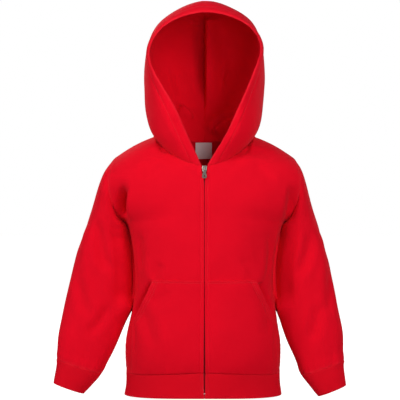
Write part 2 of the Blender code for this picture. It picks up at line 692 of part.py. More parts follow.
def main():
    clear_scene()
    garment = new_collection("kids_hoodie")
    helpers = new_collection("kids_hoodie_helpers")
    helpers.hide_render = True
    cloth = material("sweat_cloth", (0.66, 0.012, 0.024))
    hood_cloth = material("hood_cloth", (0.66, 0.012, 0.024))
    lining_cloth = material("hood_lining_cloth", (0.64, 0.012, 0.022))
    rib = material("rib_cloth", (0.62, 0.012, 0.024))
    tape = material("zip_tape_cloth", (0.5, 0.01, 0.02))
    coil = material("zip_coil", (0.45, 0.01, 0.02), 0.5)
    metal = material("zip_metal", (0.62, 0.58, 0.52), 0.3, 1.0)
    label = material("label_cloth", (0.82, 0.80, 0.77), 0.8)

    # Outer faces, every piece built as if on the wearer's left.
    cols = NECK_COLS + SHOULDER_COLS
    half = ARM_ROWS + YOKE_ROWS
    front, back, bands_f, bands_b, arm, cuff, hoods = {}, {}, {}, {}, {}, {}, {}
    for side in ("left", "right"):
        front[side] = torso(True, side, NECK_COLS, SHOULDER_COLS, BODY_ROWS, ARM_ROWS, YOKE_ROWS)
        back[side] = torso(False, side, BACK_NECK_COLS, SHOULDER_COLS, BODY_ROWS, ARM_ROWS, YOKE_ROWS)
        bands_f[side] = band(True, side, NECK_COLS, SHOULDER_COLS, BAND_ROWS)
        bands_b[side] = band(False, side, BACK_NECK_COLS, SHOULDER_COLS, BAND_ROWS)
        hole = armhole(front[side], back[side], BODY_ROWS)
        arm[side], cuff[side] = sleeve(hole, half, side, SLEEVE_ROWS, CUFF_ROWS)
        hoods[side] = hood(front[side][-1, : NECK_COLS + 1], back[side][-1, : BACK_NECK_COLS + 1], side)
    whole_back = np.concatenate([back["left"][:, ::-1], mirrored(back["right"])[:, 1:]], axis=1)
    whole_band = np.concatenate(
        [
            bands_f["left"],
            bands_b["left"][:, ::-1][:, 1:],
            mirrored(bands_b["right"])[:, 1:],
            mirrored(bands_f["right"])[:, ::-1][:, 1:],
        ],
        axis=1,
    )

    grids = {"back": (whole_back, False, False), "waistband": (whole_band, False, False)}
    for side, tag in (("left", "L"), ("right", "R")):
        other = side == "right"
        turn = mirrored if other else np.asarray
        grids[f"front_{tag}"] = (turn(front[side]), False, other)
        grids[f"sleeve_{tag}"] = (turn(arm[side]), True, other)
        grids[f"cuff_{tag}"] = (turn(cuff[side]), True, other)
        grids[f"hood_{tag}"] = (turn(hoods[side]), False, not other)
    # The hood's quads start at their second corner, so that the one at the neck point is cut away from the seams.
    sheets = {n: sheet(g, closed, flip, n.startswith("hood_")) for n, (g, closed, flip) in grids.items()}
    steps = shared_offsets(sheets)

    kinds = {  # thickness, seam edges to move in, material
        "back": (BODY_CLOTH, "btlr", cloth),
        "waistband": (RIB_CLOTH, "t", rib),
        "front": (BODY_CLOTH, "btr", cloth),
        "sleeve": (BODY_CLOTH, "bt", cloth),
        "cuff": (RIB_CLOTH, "b", rib),
        "hood": (HOOD_CLOTH, "tlr", hood_cloth),
    }
    for name, (g, closed, _) in grids.items():
        thick, edges, mat = kinds[name.split("_")[0]]
        points, faces = sheets[name]
        is_hood = name.startswith("hood_")
        placed = pulled_in(points, faces, g.shape[:2], {e: HOOD_EDGE if is_hood and e != "r" else SEAM_GAP / 2 for e in edges})
        cloth_wall(name, placed, steps[name], faces, thick, mat, garment, is_hood, points)
        if is_hood:
            under = pulled_in(points, faces, g.shape[:2], {"t": LINING_GAP, "l": LINING_GAP, "r": SEAM_GAP / 2})
            under += steps[name] * (HOOD_CLOTH + LAYER_GAP)
            tag = name.replace("hood_", "hood_lining_")
            cloth_wall(tag, under, steps[name], faces, LINING_CLOTH, lining_cloth, garment, True, points)

    # Pockets lie on the fronts.
    for side, tag in (("left", "L"), ("right", "R")):
        g = front[side]
        step = steps[f"front_{tag}"].reshape(g.shape)
        step = mirrored(step) if side == "right" else step
        points, away, faces = pocket(g, step, BODY_ROWS)
        points = points - away * (POCKET_GAP + BODY_CLOTH)
        points[points[:, 2] < g[0, 0, 2] + 2, 2] += SEAM_GAP  # clear of the waistband
        if side == "right":
            points, away, faces = mirrored(points), mirrored(away), [f[::-1] for f in faces]
        cloth_wall(f"pocket_{tag}", points, away, faces, BODY_CLOTH, cloth, garment)

    # Zip tapes and chain behind the front edges.
    line, normal = zip_profile(bands_f["left"], front["left"])
    slide_point, slide_out = profile_at(line, SLIDER_Z)
    tilt = math.atan2(slide_out[1], -slide_out[0])  # the slider leans back with the chest
    for side, tag in (("left", "L"), ("right", "R")):
        rows = np.concatenate([bands_f[side][:-1], front[side]])
        grid = []
        for row, (ny, nz) in zip(rows, normal):
            out = np.array([0, ny, nz])
            grid.append([on_row(row, x) - out * BACKING for x in (CHAIN_WIDTH / 2 + SEAM_GAP, CHAIN_WIDTH / 2 + TAPE_WIDTH)])
        grid = np.array(grid)
        grid = mirrored(grid) if side == "right" else grid
        points, faces = sheet(grid, flip=side == "right")
        step = -np.repeat(np.concatenate([np.zeros((len(normal), 1)), normal], axis=1), 2, axis=0)
        placed = pulled_in(points, faces, grid.shape[:2], {"b": 1.5, "t": 1.5})
        cloth_wall(f"zip_tape_{tag}", placed, step, faces, TAPE_CLOTH, tape, garment)

    down = np.array([slide_out[1], -slide_out[0]]) * -1  # down the chest, in y and z
    if down[1] > 0:
        down = -down
    chain_top = slide_point + down * (-SLIDER_LENGTH / 2 + POST_LENGTH + 0.4 + SEAM_GAP)
    box_top = line[0, 1] + BOX_LENGTH
    chain = []
    inside = [i for i in range(len(line)) if box_top + SEAM_GAP + 2 < line[i, 1] < chain_top[1] - 2]
    ends = [(profile_at(line, box_top + SEAM_GAP)), *[(line[i], normal[i]) for i in inside], (chain_top, slide_out)]
    for (y, z), (ny, nz) in ends:
        near, far = (y - ny * BACKING, z - nz * BACKING), (y - ny * (BACKING + CHAIN_DEEP), z - nz * (BACKING + CHAIN_DEEP))
        w = CHAIN_WIDTH / 2
        chain.append([(-w, *near), (w, *near), (w, *far), (-w, *far)])
    solid("zip_chain", *strip(chain), coil, garment)
    foot = []
    for z in (line[0, 1] + 0.3, box_top):
        (y, z), (ny, nz) = profile_at(line, z)
        near, far = (y - ny * BACKING, z - nz * BACKING), (y - ny * (BACKING + BOX_DEEP), z - nz * (BACKING + BOX_DEEP))
        w = CHAIN_WIDTH / 2
        foot.append([(-w, *near), (w, *near), (w, *far), (-w, *far)])
    solid("zip_box", *strip(foot), coil, garment)

    # Slider, built upright about the point of the fronts' outer face it sits at, then leaned with the chest.
    front_face = -(BACKING - SEAM_GAP) + FRONT_PLATE  # outward of the cloth's face
    mid = FRONT_PLATE / 2
    slider = primitive(
        "zip_slider", (SLIDER_TOP_WIDTH, FRONT_PLATE, SLIDER_LENGTH), (0, -(front_face - mid), 0), garment,
        SLIDER_FOOT_WIDTH / SLIDER_TOP_WIDTH, 0.5,
    )
    rear_face = front_face - FRONT_PLATE - PLATE_GAP
    rear = primitive(
        "slider_rear", (SLIDER_TOP_WIDTH, REAR_PLATE, SLIDER_LENGTH), (0, -(rear_face - REAR_PLATE / 2), 0), helpers,
        SLIDER_FOOT_WIDTH / SLIDER_TOP_WIDTH, 0.5,
    )
    post = primitive(
        "slider_post", (POST_WIDTH, PLATE_GAP + 1.0, POST_LENGTH),
        (0, -(rear_face + PLATE_GAP / 2), SLIDER_LENGTH / 2 - POST_LENGTH / 2 - 0.4), helpers,
    )
    legs = []
    reach = BAIL_REACH + 0.6
    for k, at in (("top", 1), ("foot", -1)):
        legs.append(
            primitive(
                f"bail_{k}", (BAIL_WIDTH, reach, BAIL_BAR),
                (0, -(front_face - 0.6 + reach / 2), at * (BAIL_LENGTH - BAIL_BAR) / 2), helpers,
            )
        )
    bar = primitive(
        "bail_bar", (BAIL_WIDTH + 0.02, BAIL_BAR, BAIL_LENGTH - 0.01),
        (0, -(front_face + BAIL_REACH - BAIL_BAR / 2 + 0.02), 0), helpers, bevel=0.3,
    )
    combined(slider, [rear, post, *legs, bar], "UNION")
    slider.location = (0, slide_point[0] * MM, slide_point[1] * MM)
    slider.rotation_euler = (-tilt, 0, 0)
    finished(slider, metal)

    # Pull tab: its origin lies on its pivot, and it hangs just clear of the chest.
    pivot = slide_point + slide_out * PIVOT_OUT + down * PIVOT_DOWN
    hang = 90.0
    for y, z in [profile_at(line, pivot[1] - d)[0] for d in np.linspace(4, TAB_LENGTH + 1, 12)]:
        gone = math.hypot(y - pivot[0], z - pivot[1])
        bearing = math.degrees(math.atan2(-(y - pivot[0]), -(z - pivot[1])))
        hang = min(hang, 90 - bearing - math.degrees(math.asin(min(0.9, (TAB_THICK / 2 + 0.5) / gone))))
    swing = math.radians(90 - hang)
    mesh = bmesh.new()
    outline = tab_outline()
    near = [mesh.verts.new((x * MM, -TAB_THICK / 2 * MM, -d * MM)) for x, d in outline]
    far = [mesh.verts.new((x * MM, TAB_THICK / 2 * MM, -d * MM)) for x, d in outline]
    mesh.faces.new(near)
    mesh.faces.new(far[::-1])
    for i in range(len(outline)):
        j = (i + 1) % len(outline)
        mesh.faces.new((near[j], near[i], far[i], far[j]))
    bmesh.ops.recalc_face_normals(mesh, faces=mesh.faces[:])
    data = bpy.data.meshes.new("pull_tab")
    mesh.to_mesh(data)
    mesh.free()
    tab = bpy.data.objects.new("pull_tab", data)
    garment.objects.link(tab)
    window = primitive(
        "tab_window", (TAB_WINDOW_WIDTH, 6, TAB_WINDOW[1] - TAB_WINDOW[0]), (0, 0, -sum(TAB_WINDOW) / 2), helpers
    )
    mesh = bmesh.new()
    bmesh.ops.create_cone(mesh, cap_ends=True, segments=20, radius1=0.5, radius2=0.5, depth=6 * MM)
    for v in mesh.verts:
        v.co = Vector((v.co.x * TAB_EYE_SIZE[0] * MM, -v.co.z, v.co.y * TAB_EYE_SIZE[1] * MM - TAB_EYE * MM))
    data = bpy.data.meshes.new("tab_eye")
    mesh.to_mesh(data)
    mesh.free()
    eye = bpy.data.objects.new("tab_eye", data)
    helpers.objects.link(eye)
    combined(tab, [window, eye], "DIFFERENCE")
    tab.location = (0, pivot[0] * MM, pivot[1] * MM)
    tab.rotation_euler = (-swing, 0, 0)
    finished(tab, metal)

    # Neck label: sewn into the neck seam, on the back's inner face.
    g = whole_back
    step = steps["back"].reshape(g.shape)
    centre = g.shape[1] // 2
    rise = np.linalg.norm(np.diff(g[:, centre], axis=0), axis=1)[::-1]
    reach = np.interp(LABEL_LENGTH, np.concatenate([[0], np.cumsum(rise)]), np.arange(len(g)))
    grid, away = [], []
    for r in [reach] + list(range(int(math.floor(reach)), -1, -1)):
        i = len(g) - 1 - r
        k, t = int(math.floor(i)), i - math.floor(i)
        j = min(k + 1, len(g) - 1)
        line_, step_ = g[k] * (1 - t) + g[j] * t, step[k] * (1 - t) + step[j] * t
        xs = line_[:, 0]
        cuts = sorted({LABEL_RIGHT, LABEL_LEFT, *[float(x) for x in g[-1, :, 0] if LABEL_RIGHT + 3 < x < LABEL_LEFT - 3]}, reverse=True)
        order = np.argsort(xs)
        grid.append([[x, np.interp(x, xs[order], line_[order, 1]), np.interp(x, xs[order], line_[order, 2])] for x in cuts])
        away.append([[np.interp(x, xs[order], step_[order, q]) for q in range(3)] for x in cuts])
    grid, away = np.array(grid), np.array(away)
    points, faces = sheet(grid)
    away = away.reshape(-1, 3)
    placed = pulled_in(points + away * (BODY_CLOTH + POCKET_GAP), faces, grid.shape[:2], {"t": 0.6})
    cloth_wall("neck_label", placed, away, faces, LABEL_CLOTH, label, garment)


main()
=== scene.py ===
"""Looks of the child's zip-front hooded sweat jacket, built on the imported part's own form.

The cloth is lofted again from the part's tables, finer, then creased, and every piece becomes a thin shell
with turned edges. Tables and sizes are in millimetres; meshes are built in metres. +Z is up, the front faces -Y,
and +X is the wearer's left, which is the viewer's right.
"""

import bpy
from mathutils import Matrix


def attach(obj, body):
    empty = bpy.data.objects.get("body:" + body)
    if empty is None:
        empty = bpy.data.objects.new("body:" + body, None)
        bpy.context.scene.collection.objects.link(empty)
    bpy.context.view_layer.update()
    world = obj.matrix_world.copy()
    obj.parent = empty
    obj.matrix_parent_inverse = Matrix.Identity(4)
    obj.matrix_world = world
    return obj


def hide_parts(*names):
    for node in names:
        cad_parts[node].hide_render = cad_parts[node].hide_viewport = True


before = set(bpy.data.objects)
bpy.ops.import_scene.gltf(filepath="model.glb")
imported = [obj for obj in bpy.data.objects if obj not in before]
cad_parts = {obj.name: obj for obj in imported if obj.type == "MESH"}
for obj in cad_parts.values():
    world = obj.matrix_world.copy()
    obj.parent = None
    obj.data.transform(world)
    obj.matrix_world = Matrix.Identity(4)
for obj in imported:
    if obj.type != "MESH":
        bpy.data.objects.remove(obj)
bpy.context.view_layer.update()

import math
from collections import namedtuple

import bmesh
import bpy
import numpy as np
from mathutils import Vector, kdtree
from mathutils.bvhtree import BVHTree

MM = 0.001

# ---------------------------------------------------------------- cloth and seams
BODY_CLOTH = 2.0  # brushed sweatshirt cloth
HOOD_CLOTH = 1.7
LINING_CLOTH = 1.4
RIB_CLOTH = 2.6  # waistband and cuffs are rib, folded double
TAPE_CLOTH = 1.0
LABEL_CLOTH = 0.7
LAYER_GAP = 0.3  # between pieces that lie on each other
STITCH_GAP = 0.06  # between the turned edges at a seam

# ---------------------------------------------------------------- how many strips each piece is lofted in
NECK_COLS, FRONT_SHOULDER_COLS = 66, 50
BACK_NECK_COLS, BACK_SHOULDER_COLS = 60, 36
BODY_ROWS, ARM_ROWS, YOKE_ROWS = 92, 32, 32
SLEEVE_ROWS = 112
HOOD_COLS = 108
BAND_COLS, BAND_ROWS = 456, 12  # columns of a quarter of the waistband, four to a rib
CUFF_RIBS, CUFF_ROWS = 92, 12

# ---------------------------------------------------------------- torso
ZIP_GAP = 1.3  # half the gap between the front edges
ZIP_GAP_TOP = 5.2  # half the gap where the slider holds them apart
ZIP_GAP_FROM = -78.0  # heights between which it widens
ZIP_GAP_TO = -71.0

Girth = namedtuple("Girth", "z_front z_side half_width side_y front_y back_y fullness")
WAIST_SEAM = Girth(-441, -448, 145.5, 0, -98.5, 92, 0.60)
TORSO = (
    WAIST_SEAM,
    Girth(-416, -420, 147.5, 0, -102.5, 93, 0.60),
    Girth(-382, -385, 146.5, 0, -103.0, 90, 0.60),
    Girth(-335, -336, 137.5, 0, -102.0, 85, 0.60),
    Girth(-283, -283, 132.5, 0, -101.0, 83, 0.61),
    Girth(-238, -238, 134.5, 0, -100.5, 86, 0.61),
    Girth(-200, -198, 141.5, 0, -100.0, 89, 0.61),
    Girth(-172, -168, 151.5, 0, -98.5, 91, 0.60),
)
HEM = (
    Girth(-488, -490, 149.0, 0, -99.5, 94, 0.60),
    Girth(-465, -470, 145.5, 0, -98.0, 92, 0.60),
    WAIST_SEAM,
)
SIDE_WIDTH = {"right": 1.017, "left": 0.983}  # below the waist the body hangs a little to the wearer's right
SIDE_FROM, SIDE_TO = -300.0, -370.0

# Armhole edge of the front and of the back, from the armpit up to the yoke.
Arm = namedtuple("Arm", "centre_z centre_y edge_x edge_y edge_z turn")
FRONT_ARM = (
    Arm(-150, -97.5, 163.0, -31, -155, 58),
    Arm(-127, -96.5, 173.5, -46, -131, 46),
    Arm(-104, -94.5, 179.5, -48, -101, 42),
)
BACK_ARM = (
    Arm(-143, 91.5, 163.0, 32, -155, 58),
    Arm(-112, 90.0, 173.5, 48, -131, 46),
    Arm(-80, 84.5, 178.5, 50, -98, 42),
)
NECK_POINT = (93.0, 2.0, 0.0)
SHOULDER_POINT = (171.0, 3.0, -42.0)
FRONT_NECK = (-88.0, -57.0)  # y and z where the zip ends
BACK_NECK = (61.0, -8.0)

# ---------------------------------------------------------------- sleeves: outer and under side of each ring
Ring = namedtuple("Ring", "outer_x outer_z under_x under_z centre_y half_depth bow")
SLEEVE = {
    "right": (
        Ring(187.0, -64, 150.5, -178, 3, 51, 14),
        Ring(200.0, -93, 146.5, -188, 4, 50, 9),
        Ring(213.0, -133, 141.6, -203, 6, 47, 4),
        Ring(226.5, -173, 137.4, -222, 8, 44, 0),
        Ring(240.0, -218, 134.2, -249, 9, 41, 0),
        Ring(252.0, -262, 133.4, -288, 9, 39, 0),
        Ring(263.0, -305, 138.8, -331, 8, 37, 0),
        Ring(271.5, -345, 155.5, -371, 5, 34, 0),
        Ring(278.5, -382, 174.0, -411, 0, 31, 0),
        Ring(280.0, -423, 195.0, -450, -5, 27, 0),
    ),
    "left": (
        Ring(182.5, -64, 150.5, -178, 3, 51, 14),
        Ring(194.5, -93, 146.5, -188, 4, 50, 9),
        Ring(205.5, -133, 141.6, -203, 6, 47, 4),
        Ring(218.5, -173, 137.4, -222, 8, 44, 0),
        Ring(230.5, -218, 134.2, -249, 9, 41, 0),
        Ring(241.5, -262, 133.4, -288, 9, 39, 0),
        Ring(251.0, -305, 138.8, -331, 8, 37, 0),
        Ring(259.0, -345, 150.0, -371, 5, 34, 0),
        Ring(264.5, -382, 165.0, -411, 0, 31, 0),
        Ring(265.5, -426, 184.0, -453, -5, 27, 0),
    ),
}
CUFF = {
    "right": (Ring(279.5, -436, 204.0, -461, -6, 25, 0), Ring(285.5, -468, 228.5, -488, -8, 22, 0)),
    "left": (Ring(264.0, -439, 193.0, -464, -6, 25, 0), Ring(268.5, -472, 215.8, -493, -8, 22, 0)),
}
SLEEVE_FULLNESS = 0.62  # 0.55 is an ellipse, more is squarer

# ---------------------------------------------------------------- hood: arches from the face edge to the back neck
Arch = namedtuple("Arch", "low_x low_y low_z wide_x wide_y wide_z corner_x corner_y corner_z crown_x crown_y crown_z")
FACE_EDGE = {
    "right": Arch(51, -91, 42, 100, -72, 142, 82, -84, 197, 4, -93, 227),
    "left": Arch(57, -91, 34, 99, -72, 160, 82, -84, 198, 4, -93, 227),
}
HOOD = (
    Arch(62, -93, 14, 109, -44, 137, 88, -54, 206, 4, -62, 246),
    Arch(76, -82, 2, 114, -14, 116, 90, -6, 212, 4, -12, 255),
    Arch(88, -64, -3, 114, 10, 102, 88, 42, 203, 3, 42, 247),
    Arch(96, -42, 0, 111, 27, 86, 79, 82, 168, 1, 96, 216),
    Arch(100, -19, 10, 103, 46, 66, 62, 100, 116, 0, 122, 148),
    Arch(98, 1, 17, 88, 44, 38, 50, 84, 52, 0, 99, 60),
)

# ---------------------------------------------------------------- pockets, measured on the front
POCKET_TOP = -270.0
POCKET_TOP_X = 95.0
POCKET_SIDE_Z = -352.0  # where the slanting hand opening ends
POCKET_SIDE_X = 133.5
POCKET_SIDE_X_HEM = 136.0
POCKET_GAP = 0.45
SLIDER_Z = -63.0

# ---------------------------------------------------------------- zip, measured inward from the fronts' outer face
BACKING = RIB_CLOTH + 0.3  # the tape and the chain lie behind the thickest edge
CHAIN_WIDTH, CHAIN_DEEP = 5.4, 2.4
TAPE_WIDTH = 13.0
SLIDER_LENGTH, SLIDER_TOP_WIDTH, SLIDER_FOOT_WIDTH = 11.4, 8.8, 6.6
FRONT_PLATE, REAR_PLATE = 1.8, 1.6
PLATE_GAP = CHAIN_DEEP + 0.6
POST_WIDTH, POST_LENGTH = 2.4, 3.6
BAIL_WIDTH, BAIL_BAR, BAIL_REACH, BAIL_LENGTH = 1.8, 1.0, 4.2, 7.8
PIVOT_DOWN, PIVOT_OUT = 2.0, 1.0  # from the slider's middle, and from the fronts' outer face
TAB_LENGTH, TAB_TOP_WIDTH, TAB_FOOT_WIDTH, TAB_THICK = 18.5, 5.2, 8.8, 1.1
TAB_HEAD = 0.8  # metal above the pivot
TAB_WINDOW, TAB_WINDOW_WIDTH = (0.7, 4.0), 2.8
TAB_EYE, TAB_EYE_SIZE = 13.2, (2.0, 4.2)
BOX_LENGTH, BOX_DEEP = 9.0, 3.4
LABEL_LEFT, LABEL_RIGHT, LABEL_LENGTH = 15.0, -17.0, 34.0
# ================================================================ lines and lofts
def through(rows, knots, at, crease=None, crease_weight=None):
    """Rows of points read between the given rows, as a smooth line through each column of them.
    At row number crease the line may turn sharply, by crease_weight from 0 to 1 for each column."""
    rows, knots, at = np.asarray(rows, float), np.asarray(knots, float), np.asarray(at, float)
    step = np.diff(knots)
    rise = np.diff(rows, axis=0) / step.reshape((-1,) + (1,) * (rows.ndim - 1))
    tangent = np.empty_like(rows)
    tangent[0], tangent[-1] = rise[0], rise[-1]
    share = (step[1:] / (step[:-1] + step[1:])).reshape((-1,) + (1,) * (rows.ndim - 1))
    tangent[1:-1] = share * rise[:-1] + (1 - share) * rise[1:]
    before, after = tangent.copy(), tangent.copy()
    if crease is not None:
        w = np.asarray(crease_weight, float)[:, None]
        before[crease] = (1 - w) * tangent[crease] + w * rise[crease - 1]
        after[crease] = (1 - w) * tangent[crease] + w * rise[crease]
    i = np.clip(np.searchsorted(knots, at, side="right") - 1, 0, len(knots) - 2)
    shape = (-1,) + (1,) * (rows.ndim - 1)
    d, t = step[i].reshape(shape), ((at - knots[i]) / step[i]).reshape(shape)
    return (
        (2 * t**3 - 3 * t**2 + 1) * rows[i]
        + (t**3 - 2 * t**2 + t) * d * after[i]
        + (3 * t**2 - 2 * t**3) * rows[i + 1]
        + (t**3 - t**2) * d * before[i + 1]
    )


def even(line, shares):
    """The points of a fine line at the given shares of its length."""
    line = np.asarray(line, float)
    along = np.concatenate([[0], np.cumsum(np.linalg.norm(np.diff(line, axis=0), axis=1))])
    return np.stack([np.interp(np.asarray(shares) * along[-1], along, line[:, k]) for k in range(3)], axis=1)


def bezier(p0, p1, p2, p3, n=400):
    t = np.linspace(0, 1, n)[:, None]
    p0, p1, p2, p3 = (np.asarray(p, float) for p in (p0, p1, p2, p3))
    return (1 - t) ** 3 * p0 + 3 * (1 - t) ** 2 * t * p1 + 3 * (1 - t) * t**2 * p2 + t**3 * p3


def smooth(t):
    t = np.clip(t, 0, 1)
    return t * t * (3 - 2 * t)


def girth_arc(z_mid, z_edge, mid_y, edge_x, edge_y, turn, fullness, shares):
    """From the centre line round to an edge: level at the centre, turned by turn degrees at the edge."""
    a, side = math.radians(turn), math.copysign(1, edge_y - mid_y)
    deep = abs(edge_y - mid_y)
    back = fullness * min(deep / max(math.sin(a), 0.3), edge_x) * (0.9 if turn < 80 else 1)
    line = bezier(
        (0, mid_y, 0),
        (fullness * edge_x, mid_y, 0),
        (edge_x - back * math.cos(a), edge_y - side * back * math.sin(a), 0),
        (edge_x, edge_y, 0),
        500,
    )
    line = even(line, shares)
    line[:, 2] = z_mid + (z_edge - z_mid) * smooth(line[:, 0] / edge_x)
    return line


def front_neck_line(n=500):
    """Neck seam from the zip round to the neck point."""
    y0, z0 = FRONT_NECK
    x1, y1, z1 = NECK_POINT
    return bezier((ZIP_GAP_TOP, y0, z0), (44, y0 - 2, z0 + 3), (x1 - 4, y1 - 46, z1 - 22), (x1, y1, z1), n)


def back_neck_line(n=500):
    """Neck seam from the centre back round to the neck point."""
    y0, z0 = BACK_NECK
    x1, y1, z1 = NECK_POINT
    return bezier((0, y0, z0), (46, y0, z0 - 1), (x1 + 1, y1 + 34, z1 - 5), (x1, y1, z1), n)


def shoulder_line(n=300):
    p, q = np.array(NECK_POINT), np.array(SHOULDER_POINT)
    t = np.linspace(0, 1, n)[:, None]
    return p + (q - p) * t + np.array([0, 0, 4.0]) * np.sin(np.pi * t)


def column_shares(neck_cols, shoulder_cols, neck_share=0.47):
    inner = neck_share * np.arange(neck_cols + 1) / neck_cols
    outer = neck_share + (1 - neck_share) * np.arange(1, shoulder_cols + 1) / shoulder_cols
    return np.concatenate([inner, outer])


def torso_rows(front, neck_cols, shoulder_cols):
    """Key rows of a front or half back, hem seam to shoulder, and the number of the armpit row."""
    shares = column_shares(neck_cols, shoulder_cols)
    rows = []
    for g in TORSO:
        mid = g.front_y if front else g.back_y
        z_mid = g.z_front if front else g.z_side
        rows.append(girth_arc(z_mid, g.z_side, mid, g.half_width, g.side_y, 90, g.fullness, shares))
    armpit = len(rows) - 1
    for a in FRONT_ARM if front else BACK_ARM:
        rows.append(girth_arc(a.centre_z, a.edge_z, a.centre_y, a.edge_x, a.edge_y, a.turn, 0.5, shares))
    neck = front_neck_line() if front else back_neck_line()
    top = np.concatenate(
        [
            even(neck, np.arange(neck_cols + 1) / neck_cols),
            even(shoulder_line(), np.arange(1, shoulder_cols + 1) / shoulder_cols),
        ]
    )
    # Over the shoulder: each column leaves the yoke as it comes up the chest and arrives level with the seam.
    yoke = rows[-1]
    leave = rows[-1] - rows[-2]
    leave /= np.linalg.norm(leave, axis=1)[:, None]
    far = np.linalg.norm(top - yoke, axis=1)[:, None]
    at_neck = 1 - smooth(np.arange(len(shares)) / neck_cols)[:, None]
    side = 1.0 if front else -1.0
    arrive = at_neck * np.array([0, 0.35 * side, 0.95]) + (1 - at_neck) * np.array([0, side, 0.12])
    arrive /= np.linalg.norm(arrive, axis=1)[:, None]
    for t in np.arange(1, 5) / 4:
        rows.append(
            (2 * t**3 - 3 * t**2 + 1) * yoke
            + (t**3 - 2 * t**2 + t) * 1.1 * far * leave
            + (3 * t**2 - 2 * t**3) * top
            + (t**3 - t**2) * 1.1 * far * arrive
        )
    return np.array(rows), armpit


def sideways(grid, side):
    """The body's hang to one side, below the waist."""
    k = 1 + (SIDE_WIDTH[side] - 1) * smooth((SIDE_FROM - grid[..., 2]) / (SIDE_FROM - SIDE_TO))
    return np.stack([grid[..., 0] * k, grid[..., 1], grid[..., 2]], axis=-1)


def front_gap(z):
    """How far a front edge stands off the centre line: more where the slider holds the edges apart."""
    return ZIP_GAP + (ZIP_GAP_TOP - ZIP_GAP) * smooth((z - ZIP_GAP_FROM) / (ZIP_GAP_TO - ZIP_GAP_FROM))


def edge_fade(neck_cols, shoulder_cols):
    return np.clip(1 - column_shares(neck_cols, shoulder_cols) / 0.47, 0, 1) ** 2


def torso(front, side, neck_cols, shoulder_cols, body_rows, arm_rows, yoke_rows):
    """The outer face of a front or half back as if on the wearer's left: rows from the waist seam to the shoulder."""
    rows, armpit = torso_rows(front, neck_cols, shoulder_cols)
    yoke, last = armpit + len(FRONT_ARM), len(rows) - 1
    at = np.concatenate(
        [
            np.linspace(0, armpit, body_rows + 1),
            np.linspace(armpit, yoke, arm_rows + 1)[1:],
            np.linspace(yoke, last, yoke_rows + 1)[1:],
        ]
    )
    edge = np.clip((column_shares(neck_cols, shoulder_cols) - 0.7) / 0.3, 0, 1)
    grid = through(rows, np.arange(len(rows)), at, armpit, smooth(edge))
    if front:
        fade = edge_fade(neck_cols, shoulder_cols)
        for r in range(len(grid) - 1):
            grid[r, :, 0] += (front_gap(grid[r, 0, 2]) - grid[r, 0, 0]) * fade
    return sideways(grid, side)


def band(front, side, neck_cols, shoulder_cols, band_rows):
    """The waistband's outer face from the centre line to the side: rows from the hem up to the waist seam."""
    shares = column_shares(neck_cols, shoulder_cols)
    rows = []
    for g in HEM:
        mid = g.front_y if front else g.back_y
        z_mid = g.z_front if front else g.z_side
        rows.append(girth_arc(z_mid, g.z_side, mid, g.half_width, g.side_y, 90, g.fullness, shares))
    grid = through(rows, np.arange(len(rows)), np.linspace(0, len(rows) - 1, band_rows + 1))
    if front:
        grid[:, :, 0] += ZIP_GAP * edge_fade(neck_cols, shoulder_cols)
    return sideways(grid, side)


def armhole(front_grid, back_grid, armpit):
    """Closed loop from the shoulder point down the front to the armpit and up the back."""
    down = front_grid[armpit:, -1][::-1]
    up = back_grid[armpit:, -1]
    return np.concatenate([down, up[1:-1]])


def ring(r, half):
    """A ring from its outer side over the front to the underarm and up the back, in half steps each way."""
    outer, under = np.array([r.outer_x, r.outer_z]), np.array([r.under_x, r.under_z])
    mid, reach = (outer + under) / 2, (outer - under) / 2
    a = np.radians(np.linspace(0, 360, 2 * half + 1)[:-1])
    power = 2 * (1 - SLEEVE_FULLNESS) / 0.8954
    c, s = np.cos(a), np.sin(a)
    ce = np.sign(c) * np.abs(c) ** power
    se = np.sign(s) * np.abs(s) ** power
    x = mid[0] + ce * reach[0] + r.bow * se**2
    return np.stack([x, r.centre_y - se * r.half_depth, mid[1] + ce * reach[1]], axis=1)


def sleeve(hole, half, side, sleeve_rows, cuff_rows):
    """The sleeve's outer face, armhole to cuff seam, and the cuff's, cuff seam to wrist."""
    rows = [hole] + [ring(r, half) for r in SLEEVE[side]]
    grid = through(rows, np.arange(len(rows)), np.linspace(0, len(rows) - 1, sleeve_rows + 1))
    cuffs = [rows[-1]] + [ring(r, half) for r in CUFF[side]]
    end = through(cuffs, np.arange(len(cuffs)), np.linspace(0, len(cuffs) - 1, cuff_rows + 1))
    return grid, end


def hood(neck_front, neck_back, side):
    """Outer face of half the hood: rows from the face edge to the back neck, columns from the neck edge to the crown."""
    hood_rows, hood_cols = len(neck_front) - 1, len(neck_back) - 1
    arches = [FACE_EDGE[side]] + list(HOOD)
    shares = np.arange(hood_cols + 1) / hood_cols
    feet = through(
        neck_front, np.arange(hood_rows + 1), np.linspace(0, hood_rows, len(arches) + 1)
    )
    lean = 1 if side == "left" else -1  # crown_x is to the wearer's left on both halves
    rows = []
    for foot, a in zip(feet, arches):
        key = np.array(
            [
                foot,
                (a.low_x, a.low_y, a.low_z),
                (a.wide_x, a.wide_y, a.wide_z),
                (a.corner_x + lean * a.crown_x * 0.6, a.corner_y, a.corner_z),
                (lean * a.crown_x, a.crown_y, a.crown_z),
                (-a.corner_x + lean * a.crown_x * 1.4, a.corner_y, a.corner_z),
            ]
        )
        knots = np.concatenate([[0], np.cumsum(np.linalg.norm(np.diff(key, axis=0), axis=1) ** 0.75)])
        rows.append(even(through(key, knots, np.linspace(0, knots[4], 900)), shares))
    rows.append(neck_back[::-1])  # neck point to centre back
    grid = through(rows, np.arange(len(rows)), np.linspace(0, len(rows) - 1, hood_rows + 1))
    grid[:, 0] = neck_front
    return grid



# ================================================================ finer cloth on the same form
def mirrored(grid):
    return grid * np.array([-1.0, 1.0, 1.0])


def unit(v):
    return v / np.maximum(np.linalg.norm(v, axis=-1, keepdims=True), 1e-9)


